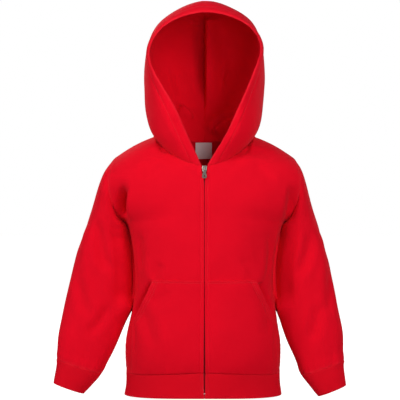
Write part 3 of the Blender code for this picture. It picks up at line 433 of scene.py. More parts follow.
def normals_of(grid, closed, flip):
    """Outward normals of a grid of rows x columns, from its own lines."""
    across = np.roll(grid, -1, 1) - np.roll(grid, 1, 1) if closed else np.gradient(grid, axis=1)
    n = unit(np.cross(across, np.gradient(grid, axis=0)))
    return -n if flip else n


def run(grid, axis):
    """How far each point lies along its own line, in rows (axis 1) or columns (axis 0)."""
    step = np.linalg.norm(np.diff(grid, axis=axis), axis=2)
    zero = np.zeros_like(np.take(step, [0], axis=axis))
    return np.concatenate([zero, np.cumsum(step, axis=axis)], axis=axis)


def edge_distances(grid, closed):
    """Distance from each edge along the cloth: b first row, t last row, l first column, r last."""
    up = run(grid, 0)
    out = {"b": up, "t": up[-1:] - up}
    if not closed:
        side = run(grid, 1)
        out["l"], out["r"] = side, side[:, -1:] - side
    return out


def relaxed(grid, closed, times):
    """The grid with its small kinks smoothed out and its edges where they were."""
    g = grid.copy()
    for _ in range(times):
        across = (np.roll(g, 1, 1) + np.roll(g, -1, 1)) / 2 if closed else g.copy()
        if not closed:
            across[:, 1:-1] = (g[:, :-2] + g[:, 2:]) / 2
        along = g.copy()
        along[1:-1] = (g[:-2] + g[2:]) / 2
        new = g + 0.25 * (across - g) + 0.25 * (along - g)
        new[0], new[-1] = grid[0], grid[-1]
        if not closed:
            new[:, 0], new[:, -1] = grid[:, 0], grid[:, -1]
        g = new
    return g


def resampled(line, at):
    """A line's points at the given distances along it."""
    s = np.concatenate([[0], np.cumsum(np.linalg.norm(np.diff(line, axis=0), axis=1))])
    return np.stack([np.interp(at, s, line[:, k]) for k in range(3)], axis=1)


def squeezed(s, low, high, band=9.0):
    """Distances 0 to the end, moved in from both ends by low and high, the change spread over a band."""
    end = s[-1]
    band = min(band, end / 3)
    near, far = s < band, end - s < band
    out = np.where(near, low + s * (1 - low / band), s)
    return np.where(far, end - (high + (end - s) * (1 - high / band)), out)


def inset(grid, closed, by):
    """The grid with its edges drawn in by the distances given for each point of each edge."""
    out = grid.copy()
    rows, cols = grid.shape[:2]
    if not closed:
        for i in range(rows):
            s = np.concatenate([[0], np.cumsum(np.linalg.norm(np.diff(out[i], axis=0), axis=1))])
            out[i] = resampled(out[i], squeezed(s, by["l"][i], by["r"][i]))
    for j in range(cols):
        s = np.concatenate([[0], np.cumsum(np.linalg.norm(np.diff(out[:, j], axis=0), axis=1))])
        out[:, j] = resampled(out[:, j], squeezed(s, by["b"][j], by["t"][j]))
    return out


def edge_loops(rows, cols, closed):
    """Index loops round a grid, its cloth on their left, with the edge's letter for each point."""
    idx = np.arange(rows * cols).reshape(rows, cols)
    if closed:
        return [(idx[0], "b" * cols), (idx[-1, ::-1], "t" * cols)]
    loop = np.concatenate([idx[0, :-1], idx[:-1, -1], idx[-1, :0:-1], idx[:0:-1, 0]])
    return [(loop, "b" * (cols - 1) + "r" * (rows - 1) + "t" * (cols - 1) + "l" * (rows - 1))]


def outward(points, loop, normals, flip):
    """Unit vectors out of the cloth at each point of an edge loop."""
    p = points[loop]
    along = np.roll(p, -1, 0) - np.roll(p, 1, 0)
    n = -normals[loop] if flip else normals[loop]
    return unit(np.cross(along, n))


# ================================================================ creases and seams
Fold = namedtuple("Fold", "face way depth left right ridge start stop", defaults=(0.35, 0.3, 0.3))
# face: front (-Y), back (+Y), left, right (+X, -X) or any; way: x and z (y and z for left and right) along its line;
# depth in, or out if negative; left and right: how far it spreads to either side of the line as it is walked;
# ridge: the share of depth that rises beside it; start and stop: the shares of its length it comes up and dies in.
AXIS = {"front": (1, -1), "back": (1, 1), "left": (0, 1), "right": (0, -1)}


def waved(way, n=34):
    """A smooth line through the way's points."""
    p = np.array(way, float)
    if len(p) == 2:
        p = np.array([p[0], p.mean(0), p[1]])
    at = np.concatenate([[0], np.cumsum(np.linalg.norm(np.diff(p, axis=0), axis=1))])
    return through(p, at, np.linspace(0, at[-1], n))


def fold_depth(points, normals, fold):
    """How far a fold moves each point along its normal."""
    line = waved(fold.way)
    n = len(line)
    if fold.face == "any":
        seat, facing = line, np.ones(len(points))
        seat_normal = np.array([normals[np.argmin(np.sum((points - q) ** 2, axis=1))] for q in seat])
    else:
        axis, sign = AXIS[fold.face]
        other = 1 - axis
        facing = normals[:, axis] * sign
        seat, seat_normal = np.empty((n, 3)), np.empty((n, 3))
        for i, (u, z) in enumerate(line):
            d = (points[:, other] - u) ** 2 + (points[:, 2] - z) ** 2 + np.where(facing > 0.02, 0, 1e7)
            near = np.argsort(d)[:4]
            seat[i, other], seat[i, axis], seat[i, 2] = u, points[near, axis].mean(), z
            seat_normal[i] = normals[near].mean(0)
        for _ in range(4):
            seat[1:-1, axis] = (seat[:-2, axis] + 2 * seat[1:-1, axis] + seat[2:, axis]) / 4
    best = np.full(len(points), 1e9)
    side, where = np.zeros(len(points)), np.zeros(len(points))
    for i in range(n - 1):
        a, d = seat[i], seat[i + 1] - seat[i]
        t = np.clip((points - a) @ d / max(d @ d, 1e-9), 0, 1)
        gap = points - a - t[:, None] * d
        far = np.linalg.norm(gap, axis=1)
        closer = far < best
        best = np.where(closer, far, best)
        side = np.where(closer, gap @ np.cross(seat_normal[i], d), side)
        where = np.where(closer, (i + t) / (n - 1), where)
    width = np.where(side > 0, fold.left, fold.right)
    shape = np.exp(-((best / width) ** 2)) - fold.ridge * np.exp(-(((best - 1.9 * width) / (0.85 * width)) ** 2))
    taper = smooth(where / fold.start) * smooth((1 - where) / fold.stop)
    seen = 1.0 if fold.face == "any" else smooth((facing + 0.25) / 0.5)
    return -fold.depth * shape * taper * seen


def uneven(points, waves, size):
    """A slow, uneven swell of about size, the same wherever two pieces meet."""
    total = np.zeros(points.shape[:-1])
    for dx, dy, dz, length, phase, share in waves:
        d = np.array([dx, dy, dz]) / math.sqrt(dx * dx + dy * dy + dz * dz)
        bend = 0.35 * np.sin(points[..., 2] / 47 + phase) + 0.3 * np.sin(points[..., 0] / 61 + 2 * phase)
        total += share * np.sin(2 * np.pi * (points @ d) / length + phase + bend)
    return size * total


SLOW_WAVES = (
    (1, 0.3, 0.2, 96, 0.4, 0.45),
    (0.3, 0.6, 1, 118, 2.1, 0.40),
    (-1, 0.5, 0.7, 71, 4.0, 0.30),
    (0.8, -0.4, -0.9, 53, 1.2, 0.20),
    (0.2, 1, -0.3, 84, 5.1, 0.25),
)


def puckers(edge, along, amount, reach, pitch, phase):
    """Small gathers square to a seam: edge is the distance from it and along the distance beside it."""
    s = 2 * np.pi * along / pitch
    wave = np.sin(s + phase) + 0.7 * np.sin(s / 1.37 + 1.3 * phase) + 0.5 * np.sin(s / 0.61 + 2.2 * phase)
    return amount * 0.5 * wave * np.exp(-edge / reach)


def groove(edge, at, depth, width):
    return -depth * np.exp(-(((edge - at) / width) ** 2))


# ================================================================ Blender objects
def mesh_object(name, points, faces, mats, uv=None, wear_and_highlight=None, kinds=None):
    data = bpy.data.meshes.new(name)
    data.from_pydata((np.asarray(points) * MM).tolist(), [], [list(map(int, f)) for f in faces])
    for m in mats:
        data.materials.append(m)
    if uv is not None:
        layer = data.uv_layers.new(name="cut")
        layer.data.foreach_set("uv", (np.asarray(uv) * MM).astype(np.float32).ravel())
    if wear_and_highlight is not None:
        data.attributes.new("wear_and_highlight", "FLOAT", "POINT").data.foreach_set("value", np.asarray(wear_and_highlight, np.float32))
    if kinds is not None:
        data.polygons.foreach_set("material_index", np.asarray(kinds, np.int32))
    data.polygons.foreach_set("use_smooth", np.ones(len(data.polygons), bool))
    data.update()
    obj = bpy.data.objects.new(name, data)
    bpy.context.scene.collection.objects.link(obj)
    return obj


CORNER = 0.42  # the turned edge's radius at either face


def turned_edge(thick):
    """How far out and how deep each step round a turned edge lies."""
    r = min(CORNER, thick / 2)
    steps = [(r * math.sin(a), r - r * math.cos(a)) for a in np.radians([35, 68, 90])]
    return steps + [(out, thick - deep) for out, deep in steps[1::-1]]


def across_ribs(n, closed):
    """Normals averaged over a whole rib, which is four columns."""
    wide = n if closed else np.concatenate([n[:, :1], n[:, :1], n, n[:, -1:], n[:, -1:]], axis=1)
    total = np.zeros_like(n)
    for k, share in ((-2, 0.5), (-1, 1.0), (0, 1.0), (1, 1.0), (2, 0.5)):
        total += share * (np.roll(wide, -k, 1) if closed else wide[:, 2 + k : 2 + k + n.shape[1]])
    return unit(total)


def shell(name, grid, closed, flip, thick, mats, wear_and_highlight=None, ribbed=False):
    """A thin shell of cloth with its outer face on the grid and its edges turned round."""
    rows, cols = grid.shape[:2]
    n = normals_of(grid, closed, flip)
    n = (across_ribs(n, closed) if ribbed else n).reshape(-1, 3)
    outer = grid.reshape(-1, 3)
    points = [outer, outer - n * thick]
    v = run(grid, 0)
    u = run(grid, 1)
    u = u - u[:, :1] if closed else u - u[:, :1] + 0.0
    girth = u[:, -1] + np.linalg.norm(grid[:, -1] - grid[:, 0], axis=1)
    uv = np.stack([u.ravel(), v.ravel()], axis=1)
    coords = [uv, uv]
    worn_and_lit = np.zeros(len(outer)) if wear_and_highlight is None else wear_and_highlight.ravel()
    wear_and_highlight_rows = [worn_and_lit, worn_and_lit * 0]
    idx = np.arange(rows * cols).reshape(rows, cols)
    east = np.roll(idx, -1, 1) if closed else idx[:, 1:]
    west = idx if closed else idx[:, :-1]
    quads = np.stack([west[:-1], east[:-1], east[1:], west[1:]], axis=-1).reshape(-1, 4)
    faces = [quads[:, ::-1] if flip else quads, (quads if flip else quads[:, ::-1]) + len(outer)]
    count = 2 * len(outer)
    for loop, _ in edge_loops(rows, cols, closed):
        out, m = outward(outer, loop, n, flip), n[loop]
        before = loop
        for beyond, deep in turned_edge(thick):
            points.append(outer[loop] - m * deep + out * beyond)
            coords.append(uv[loop])
            # the outer half of each turned edge gets at least 0.6 of the lighter colour: wear, and a painted highlight
            # on the rounded edge
            wear_and_highlight_rows.append(np.maximum(worn_and_lit[loop], 0.6) * (deep < thick / 2))
            ids = count + np.arange(len(loop))
            count += len(loop)
            strip = np.stack([before, ids, np.roll(ids, -1), np.roll(before, -1)], axis=1)
            faces.append(strip[:, ::-1] if flip else strip)
            before = ids
        last = loop + len(outer)
        strip = np.stack([before, last, np.roll(last, -1), np.roll(before, -1)], axis=1)
        faces.append(strip[:, ::-1] if flip else strip)
    faces = np.concatenate(faces)
    coords = np.concatenate(coords)[faces]  # per face, per corner
    if closed:  # across the wrap, the low side goes on from the high side
        whole = np.interp(coords[..., 1], v.mean(1), girth)
        wide = coords[..., 0].max(1) - coords[..., 0].min(1) > girth.max() / 2
        coords[..., 0] += np.where(wide[:, None] & (coords[..., 0] < girth.max() / 2), whole, 0)
    return mesh_object(name, np.concatenate(points), faces, mats, coords.reshape(-1, 2), np.concatenate(wear_and_highlight_rows))


def stitches(name, runs, mat, pitch=3.3, length=2.5, radius=0.3, sunk=0.05):
    """Rows of machine stitches along lines of points with their normals, one short thread after another."""
    points, faces, count = [], [], 0
    sides = 5
    shape = ((-0.5, 0.35, -0.35), (-0.36, 0.9, 0.0), (0.0, 1.0, 0.14), (0.36, 0.9, 0.0), (0.5, 0.35, -0.35))
    for line, normal in runs:
        line, normal = np.asarray(line), np.asarray(normal)
        s = np.concatenate([[0], np.cumsum(np.linalg.norm(np.diff(line, axis=0), axis=1))])
        n = int(s[-1] // pitch)
        for i in range(n):
            mid = (i + 0.5) * s[-1] / n
            rings = []
            for share, width, lift in shape:
                at = mid + share * length
                p = np.array([np.interp(at, s, line[:, k]) for k in range(3)])
                m = unit(np.array([np.interp(at, s, normal[:, k]) for k in range(3)]))
                ahead = np.array([np.interp(at + 0.4, s, line[:, k]) - np.interp(at - 0.4, s, line[:, k]) for k in range(3)])
                side = unit(np.cross(m, ahead))
                p = p + m * (radius * (0.25 + lift) - sunk)
                turn = 2 * np.pi * np.arange(sides) / sides
                rings.append(p + radius * width * (np.cos(turn)[:, None] * side + 0.8 * np.sin(turn)[:, None] * m))
            points.extend(rings)
            for k in range(len(shape) - 1):
                for j in range(sides):
                    e = (j + 1) % sides
                    a = count + k * sides
                    faces.append((a + j, a + e, a + sides + e, a + sides + j))
            faces.append(tuple(count + j for j in range(sides))[::-1])
            faces.append(tuple(count + (len(shape) - 1) * sides + j for j in range(sides)))
            count += len(shape) * sides
    obj = mesh_object(name, np.concatenate(points), faces, [mat])
    mesh = bmesh.new()
    mesh.from_mesh(obj.data)
    bmesh.ops.recalc_face_normals(mesh, faces=mesh.faces[:])
    mesh.to_mesh(obj.data)
    mesh.free()
    return obj


def at_distance(grid, normals, edge, distances, far, first=0.0, last=1.0):
    """A line on the cloth far from an edge, between two shares of the edge's length."""
    d = distances[edge]
    line, norm = [], []
    if edge in "lr":
        for i in range(len(grid)):
            order = np.argsort(d[i])
            line.append([np.interp(far, d[i][order], grid[i, order, k]) for k in range(3)])
            norm.append([np.interp(far, d[i][order], normals[i, order, k]) for k in range(3)])
    else:
        for j in range(grid.shape[1]):
            order = np.argsort(d[:, j])
            line.append([np.interp(far, d[order, j], grid[order, j, k]) for k in range(3)])
            norm.append([np.interp(far, d[order, j], normals[order, j, k]) for k in range(3)])
    line, norm = np.array(line), np.array(norm)
    s = np.concatenate([[0], np.cumsum(np.linalg.norm(np.diff(line, axis=0), axis=1))]) / 1.0
    keep = (s >= first * s[-1]) & (s <= last * s[-1])
    return line[keep], unit(norm[keep])


# ================================================================ materials
def node(tree, kind, values=(), **settings):
    n = tree.nodes.new(kind)
    for k, v in settings.items():
        setattr(n, k, v)
    for k, v in values:
        n.inputs[k].default_value = v
    return n


def maths(tree, operation, a, b=None, c=None):
    n = tree.nodes.new("ShaderNodeMath")
    n.operation = operation
    for i, v in enumerate((a, b, c)):
        if v is None:
            continue
        if isinstance(v, (int, float)):
            n.inputs[i].default_value = v
        else:
            tree.links.new(v, n.inputs[i])
    return n.outputs[0]


def noise(tree, vector, scale, detail=2.0, rough=0.5):
    n = node(tree, "ShaderNodeTexNoise", [("Scale", scale), ("Detail", detail), ("Roughness", rough)])
    tree.links.new(vector, n.inputs["Vector"])
    return n.outputs["Fac"]


def blended(tree, factor, a, b):
    n = node(tree, "ShaderNodeMix", data_type="RGBA")
    n.clamp_factor = True
    tree.links.new(factor, n.inputs[0])
    for i, v in ((6, a), (7, b)):
        if isinstance(v, tuple):
            n.inputs[i].default_value = (*v, 1)
        else:
            tree.links.new(v, n.inputs[i])
    return n.outputs[2]


def shaded(c, k):
    return tuple(min(1.0, x * k) for x in c)


def cloth_material(name, colour, wale, course, knit, fuzz, rough=0.9, sheen=0.07, worn_and_lit=(0.95, 0.03, 0.05)):
    """Knitted cloth: rows of small V loops in the cut's own direction, a brushed bloom and slow unevenness, painted
    shade in the loops' gaps, and a lighter colour along edges and seams that is partly rubbed wear and partly painted
    highlight.
    """
    m = bpy.data.materials.new(name)
    m.use_nodes = True
    t = m.node_tree
    b = t.nodes["Principled BSDF"]
    b.inputs["Roughness"].default_value = rough
    b.inputs["Specular IOR Level"].default_value = 0.08
    b.inputs["Sheen Weight"].default_value = sheen
    b.inputs["Sheen Roughness"].default_value = 0.5
    b.inputs["Sheen Tint"].default_value = (1.0, 0.2, 0.28, 1)
    cut = node(t, "ShaderNodeUVMap", uv_map="cut").outputs[0]
    place = node(t, "ShaderNodeTexCoord").outputs["Object"]
    split = node(t, "ShaderNodeSeparateXYZ")
    t.links.new(cut, split.inputs[0])
    u, v = split.outputs[0], split.outputs[1]
    lean = maths(t, "MULTIPLY", maths(t, "SUBTRACT", noise(t, place, 38, 1.0), 0.5), 0.0012)
    across = maths(t, "MULTIPLY", maths(t, "ADD", u, lean), 1000 / wale)
    off = maths(t, "ABSOLUTE", maths(t, "SUBTRACT", maths(t, "FRACT", across), 0.5))  # 0 mid loop, 0.5 between
    along = maths(t, "ADD", maths(t, "MULTIPLY", v, 1000 / course), maths(t, "MULTIPLY", off, 1.3))
    loops = maths(t, "SINE", maths(t, "MULTIPLY", along, 6.2832))
    column = maths(t, "COSINE", maths(t, "MULTIPLY", off, 6.2832))
    height = maths(t, "ADD", maths(t, "MULTIPLY", column, 0.5), maths(t, "MULTIPLY", loops, 0.35))
    bloom = noise(t, place, 1500, 3.0, 0.7)
    height = maths(t, "ADD", maths(t, "MULTIPLY", height, knit), maths(t, "MULTIPLY", bloom, fuzz))
    bump = node(t, "ShaderNodeBump", [("Strength", 0.55), ("Distance", 0.00035)])
    t.links.new(height, bump.inputs["Height"])
    t.links.new(bump.outputs[0], b.inputs["Normal"])
    slow, fine = noise(t, place, 14, 3.0, 0.55), noise(t, place, 620, 2.0, 0.6)
    c = blended(t, slow, shaded(colour, 0.93), shaded(colour, 1.06))
    # painted shade: the colour is darkened in the gaps between the knitted loops, where they lie deeper
    gap = maths(t, "MULTIPLY", maths(t, "SUBTRACT", 0.55, maths(t, "ADD", maths(t, "MULTIPLY", column, 0.3), maths(t, "MULTIPLY", loops, 0.2))), 0.22 * knit)
    c = blended(t, gap, c, shaded(colour, 0.55))
    speck = maths(t, "MULTIPLY", maths(t, "GREATER_THAN", fine, 0.62), 0.10)
    c = blended(t, speck, c, shaded(worn_and_lit, 0.8))
    # partly wear, partly painted highlight: edges and seams turn towards the lighter colour, as lit ridges do
    wear_and_highlight = node(t, "ShaderNodeAttribute", attribute_name="wear_and_highlight").outputs["Fac"]
    wear_and_highlight = maths(t, "MULTIPLY", maths(t, "MULTIPLY", wear_and_highlight, noise(t, place, 90, 2.0)), 0.30)
    c = blended(t, wear_and_highlight, c, worn_and_lit)
    t.links.new(c, b.inputs["Base Color"])
    r = maths(t, "ADD", maths(t, "MULTIPLY", fine, 0.12), rough - 0.06)
    t.links.new(r, b.inputs["Roughness"])
    return m


def thread_material(name, colour):
    m = bpy.data.materials.new(name)
    m.use_nodes = True
    t = m.node_tree
    b = t.nodes["Principled BSDF"]
    b.inputs["Specular IOR Level"].default_value = 0.4
    b.inputs["Sheen Weight"].default_value = 0.1
    place = node(t, "ShaderNodeTexCoord").outputs["Object"]
    twist = node(t, "ShaderNodeTexWave", [("Scale", 900.0), ("Distortion", 1.5)], wave_type="BANDS", bands_direction="DIAGONAL")
    t.links.new(place, twist.inputs["Vector"])
    c = blended(t, twist.outputs["Fac"], shaded(colour, 0.8), shaded(colour, 1.12))
    t.links.new(c, b.inputs["Base Color"])
    b.inputs["Roughness"].default_value = 0.6
    bump = node(t, "ShaderNodeBump", [("Strength", 0.5), ("Distance", 0.0001)])
    t.links.new(twist.outputs["Fac"], bump.inputs["Height"])
    t.links.new(bump.outputs[0], b.inputs["Normal"])
    return m


def metal_material(name, colour):
    m = bpy.data.materials.new(name)
    m.use_nodes = True
    t = m.node_tree
    b = t.nodes["Principled BSDF"]
    b.inputs["Metallic"].default_value = 1.0
    place = node(t, "ShaderNodeTexCoord").outputs["Object"]
    stretch = node(t, "ShaderNodeMapping", [("Scale", (1.0, 1.0, 0.12))])
    t.links.new(place, stretch.inputs["Vector"])
    scratch, cloud = noise(t, stretch.outputs[0], 4200, 3.0, 0.7), noise(t, place, 260, 3.0)
    c = blended(t, cloud, shaded(colour, 0.82), shaded(colour, 1.1))
    t.links.new(c, b.inputs["Base Color"])
    r = maths(t, "ADD", maths(t, "MULTIPLY", scratch, 0.16), maths(t, "ADD", maths(t, "MULTIPLY", cloud, 0.12), 0.18))
    t.links.new(r, b.inputs["Roughness"])
    bump = node(t, "ShaderNodeBump", [("Strength", 0.25), ("Distance", 0.00006)])
    t.links.new(scratch, bump.inputs["Height"])
    t.links.new(bump.outputs[0], b.inputs["Normal"])
    return m


def coil_material(name, colour):
    m = bpy.data.materials.new(name)
    m.use_nodes = True
    t = m.node_tree
    b = t.nodes["Principled BSDF"]
    place = node(t, "ShaderNodeTexCoord").outputs["Object"]
    c = blended(t, noise(t, place, 700, 2.0), shaded(colour, 0.75), shaded(colour, 1.2))
    t.links.new(c, b.inputs["Base Color"])
    b.inputs["Roughness"].default_value = 0.42
    return m


def label_material(name, colour):
    m = bpy.data.materials.new(name)
    m.use_nodes = True
    t = m.node_tree
    b = t.nodes["Principled BSDF"]
    b.inputs["Roughness"].default_value = 0.62
    b.inputs["Sheen Weight"].default_value = 0.15
    cut = node(t, "ShaderNodeUVMap", uv_map="cut").outputs[0]
    split = node(t, "ShaderNodeSeparateXYZ")
    t.links.new(cut, split.inputs[0])
    warp = maths(t, "SINE", maths(t, "MULTIPLY", split.outputs[0], 6.2832 * 2600))
    weft = maths(t, "SINE", maths(t, "MULTIPLY", split.outputs[1], 6.2832 * 1900))
    weave = maths(t, "MULTIPLY", maths(t, "ADD", warp, weft), 0.25)
    place = node(t, "ShaderNodeTexCoord").outputs["Object"]
    c = blended(t, noise(t, place, 120, 2.0), shaded(colour, 0.92), shaded(colour, 1.04))
    t.links.new(c, b.inputs["Base Color"])
    bump = node(t, "ShaderNodeBump", [("Strength", 0.4), ("Distance", 0.00012)])
    t.links.new(weave, bump.inputs["Height"])
    t.links.new(bump.outputs[0], b.inputs["Normal"])
    return m


RED = (0.82, 0.0012, 0.0150)
sweat = cloth_material("sweat_cloth", RED, 1.15, 0.95, 0.45, 0.75)
hood_cloth = cloth_material("hood_cloth", RED, 1.15, 0.95, 0.45, 0.75)
lining_cloth = cloth_material("hood_lining_cloth", (0.78, 0.0016, 0.0135), 1.0, 0.85, 0.4, 0.45, sheen=0.04)
rib_cloth = cloth_material("rib_cloth", (0.78, 0.0020, 0.0145), 1.05, 1.1, 0.5, 0.4, sheen=0.05)
tape_cloth = cloth_material("zip_tape_cloth", (0.5, 0.006, 0.015), 0.9, 0.9, 0.8, 0.1, sheen=0.0, worn_and_lit=(0.6, 0.03, 0.04))
thread = thread_material("thread", (0.80, 0.006, 0.02))
coil = coil_material("zip_coil", (0.42, 0.006, 0.014))
metal = metal_material("zip_metal", (0.42, 0.37, 0.33))
# the label's pink tint is painted bounce light from the red cloth around it
label_cloth = label_material("label_cloth", (0.95, 0.82, 0.84))


# ================================================================ the garment's own faces
front, back, arm, cuff, hoods, bands_f, bands_b = {}, {}, {}, {}, {}, {}, {}
half = ARM_ROWS + YOKE_ROWS


def even_ring(points, count):
    """A closed ring's points again, evenly spaced."""
    loop = np.concatenate([points, points[:1]])
    s = np.concatenate([[0], np.cumsum(np.linalg.norm(np.diff(loop, axis=0), axis=1))])
    return resampled(loop, np.arange(count) / count * s[-1])


def fine_hood(front_row, back_row, side):
    """Half the hood with its rows crowded at the face edge, where the hem rolls over."""
    rows = len(HOOD) + 1
    at = np.concatenate([[0, 0.012, 0.026, 0.042, 0.061, 0.084, 0.112, 0.146], np.linspace(0.19, rows, 92)])
    share = at / rows
    s = np.concatenate([[0], np.cumsum(np.linalg.norm(np.diff(front_row, axis=0), axis=1))])
    coarse = resampled(front_row, np.arange(NECK_COLS + 1) / NECK_COLS * s[-1])
    grid = hood(coarse, resampled_share(back_row, HOOD_COLS), side)
    count = len(grid) - 1
    fine = through(grid, np.arange(count + 1), share * count)
    fine[:, 0] = resampled(front_row, share * s[-1])
    t = np.linspace(0, 1, fine.shape[1])  # the columns crowd towards the centre seam
    for i, line in enumerate(fine):
        length = np.linalg.norm(np.diff(line, axis=0), axis=1).sum()
        fine[i] = resampled(line, length * t * (1.5 - 0.5 * t))
    return fine


def resampled_share(line, count):
    s = np.concatenate([[0], np.cumsum(np.linalg.norm(np.diff(line, axis=0), axis=1))])
    return resampled(line, np.arange(count + 1) / count * s[-1])


def fine_band(is_front, side):
    shares = np.linspace(0, 1, BAND_COLS + 1)
    rows = []
    for g in HEM:
        mid = g.front_y if is_front else g.back_y
        z_mid = g.z_front if is_front else g.z_side
        rows.append(girth_arc(z_mid, g.z_side, mid, g.half_width, g.side_y, 90, g.fullness, shares))
    grid = through(rows, np.arange(len(rows)), np.linspace(0, len(rows) - 1, BAND_ROWS + 1))
    if is_front:
        grid[:, :, 0] += ZIP_GAP * np.clip(1 - shares / 0.47, 0, 1) ** 2
    return sideways(grid, side)


for side in ("left", "right"):
    front[side] = torso(True, side, NECK_COLS, FRONT_SHOULDER_COLS, BODY_ROWS, ARM_ROWS, YOKE_ROWS)
    back[side] = torso(False, side, BACK_NECK_COLS, BACK_SHOULDER_COLS, BODY_ROWS, ARM_ROWS, YOKE_ROWS)
    bands_f[side], bands_b[side] = fine_band(True, side), fine_band(False, side)
    hole = armhole(front[side], back[side], BODY_ROWS)
    arm[side], _ = sleeve(hole, half, side, SLEEVE_ROWS, 2)
    rings = [even_ring(ring(r, 400), 4 * CUFF_RIBS) for r in (SLEEVE[side][-1],) + CUFF[side]]
    cuff[side] = through(rings, np.arange(3), np.linspace(0, 2, CUFF_ROWS + 1))
    hoods[side] = fine_hood(front[side][-1, : NECK_COLS + 1], back[side][-1, : BACK_NECK_COLS + 1], side)

# name: [grid, closed, flip, thickness]
cloth = {
    "back": [np.concatenate([back["left"][:, ::-1], mirrored(back["right"])[:, 1:]], axis=1), False, False, BODY_CLOTH],
    "waistband": [
        np.concatenate(
            [
                bands_f["left"],
                bands_b["left"][:, ::-1][:, 1:],
                mirrored(bands_b["right"])[:, 1:],
                mirrored(bands_f["right"])[:, ::-1][:, 1:],
            ],
            axis=1,
        ),
        False,
        False,
        RIB_CLOTH,
    ],
}
for side, tag in (("left", "L"), ("right", "R")):
    other = side == "right"
    turn = mirrored if other else np.asarray
    cloth[f"front_{tag}"] = [turn(front[side]), False, other, BODY_CLOTH]
    cloth[f"sleeve_{tag}"] = [np.roll(turn(arm[side]), -half, axis=1), True, other, BODY_CLOTH]  # opened at the underarm
    cloth[f"cuff_{tag}"] = [np.roll(turn(cuff[side]), -2 * CUFF_RIBS, axis=1), True, other, RIB_CLOTH]
    cloth[f"hood_{tag}"] = [turn(hoods[side]), False, not other, HOOD_CLOTH]

for name, c in cloth.items():
    if not name.startswith(("waistband", "cuff")):
        c[0] = relaxed(c[0], c[1], 14)

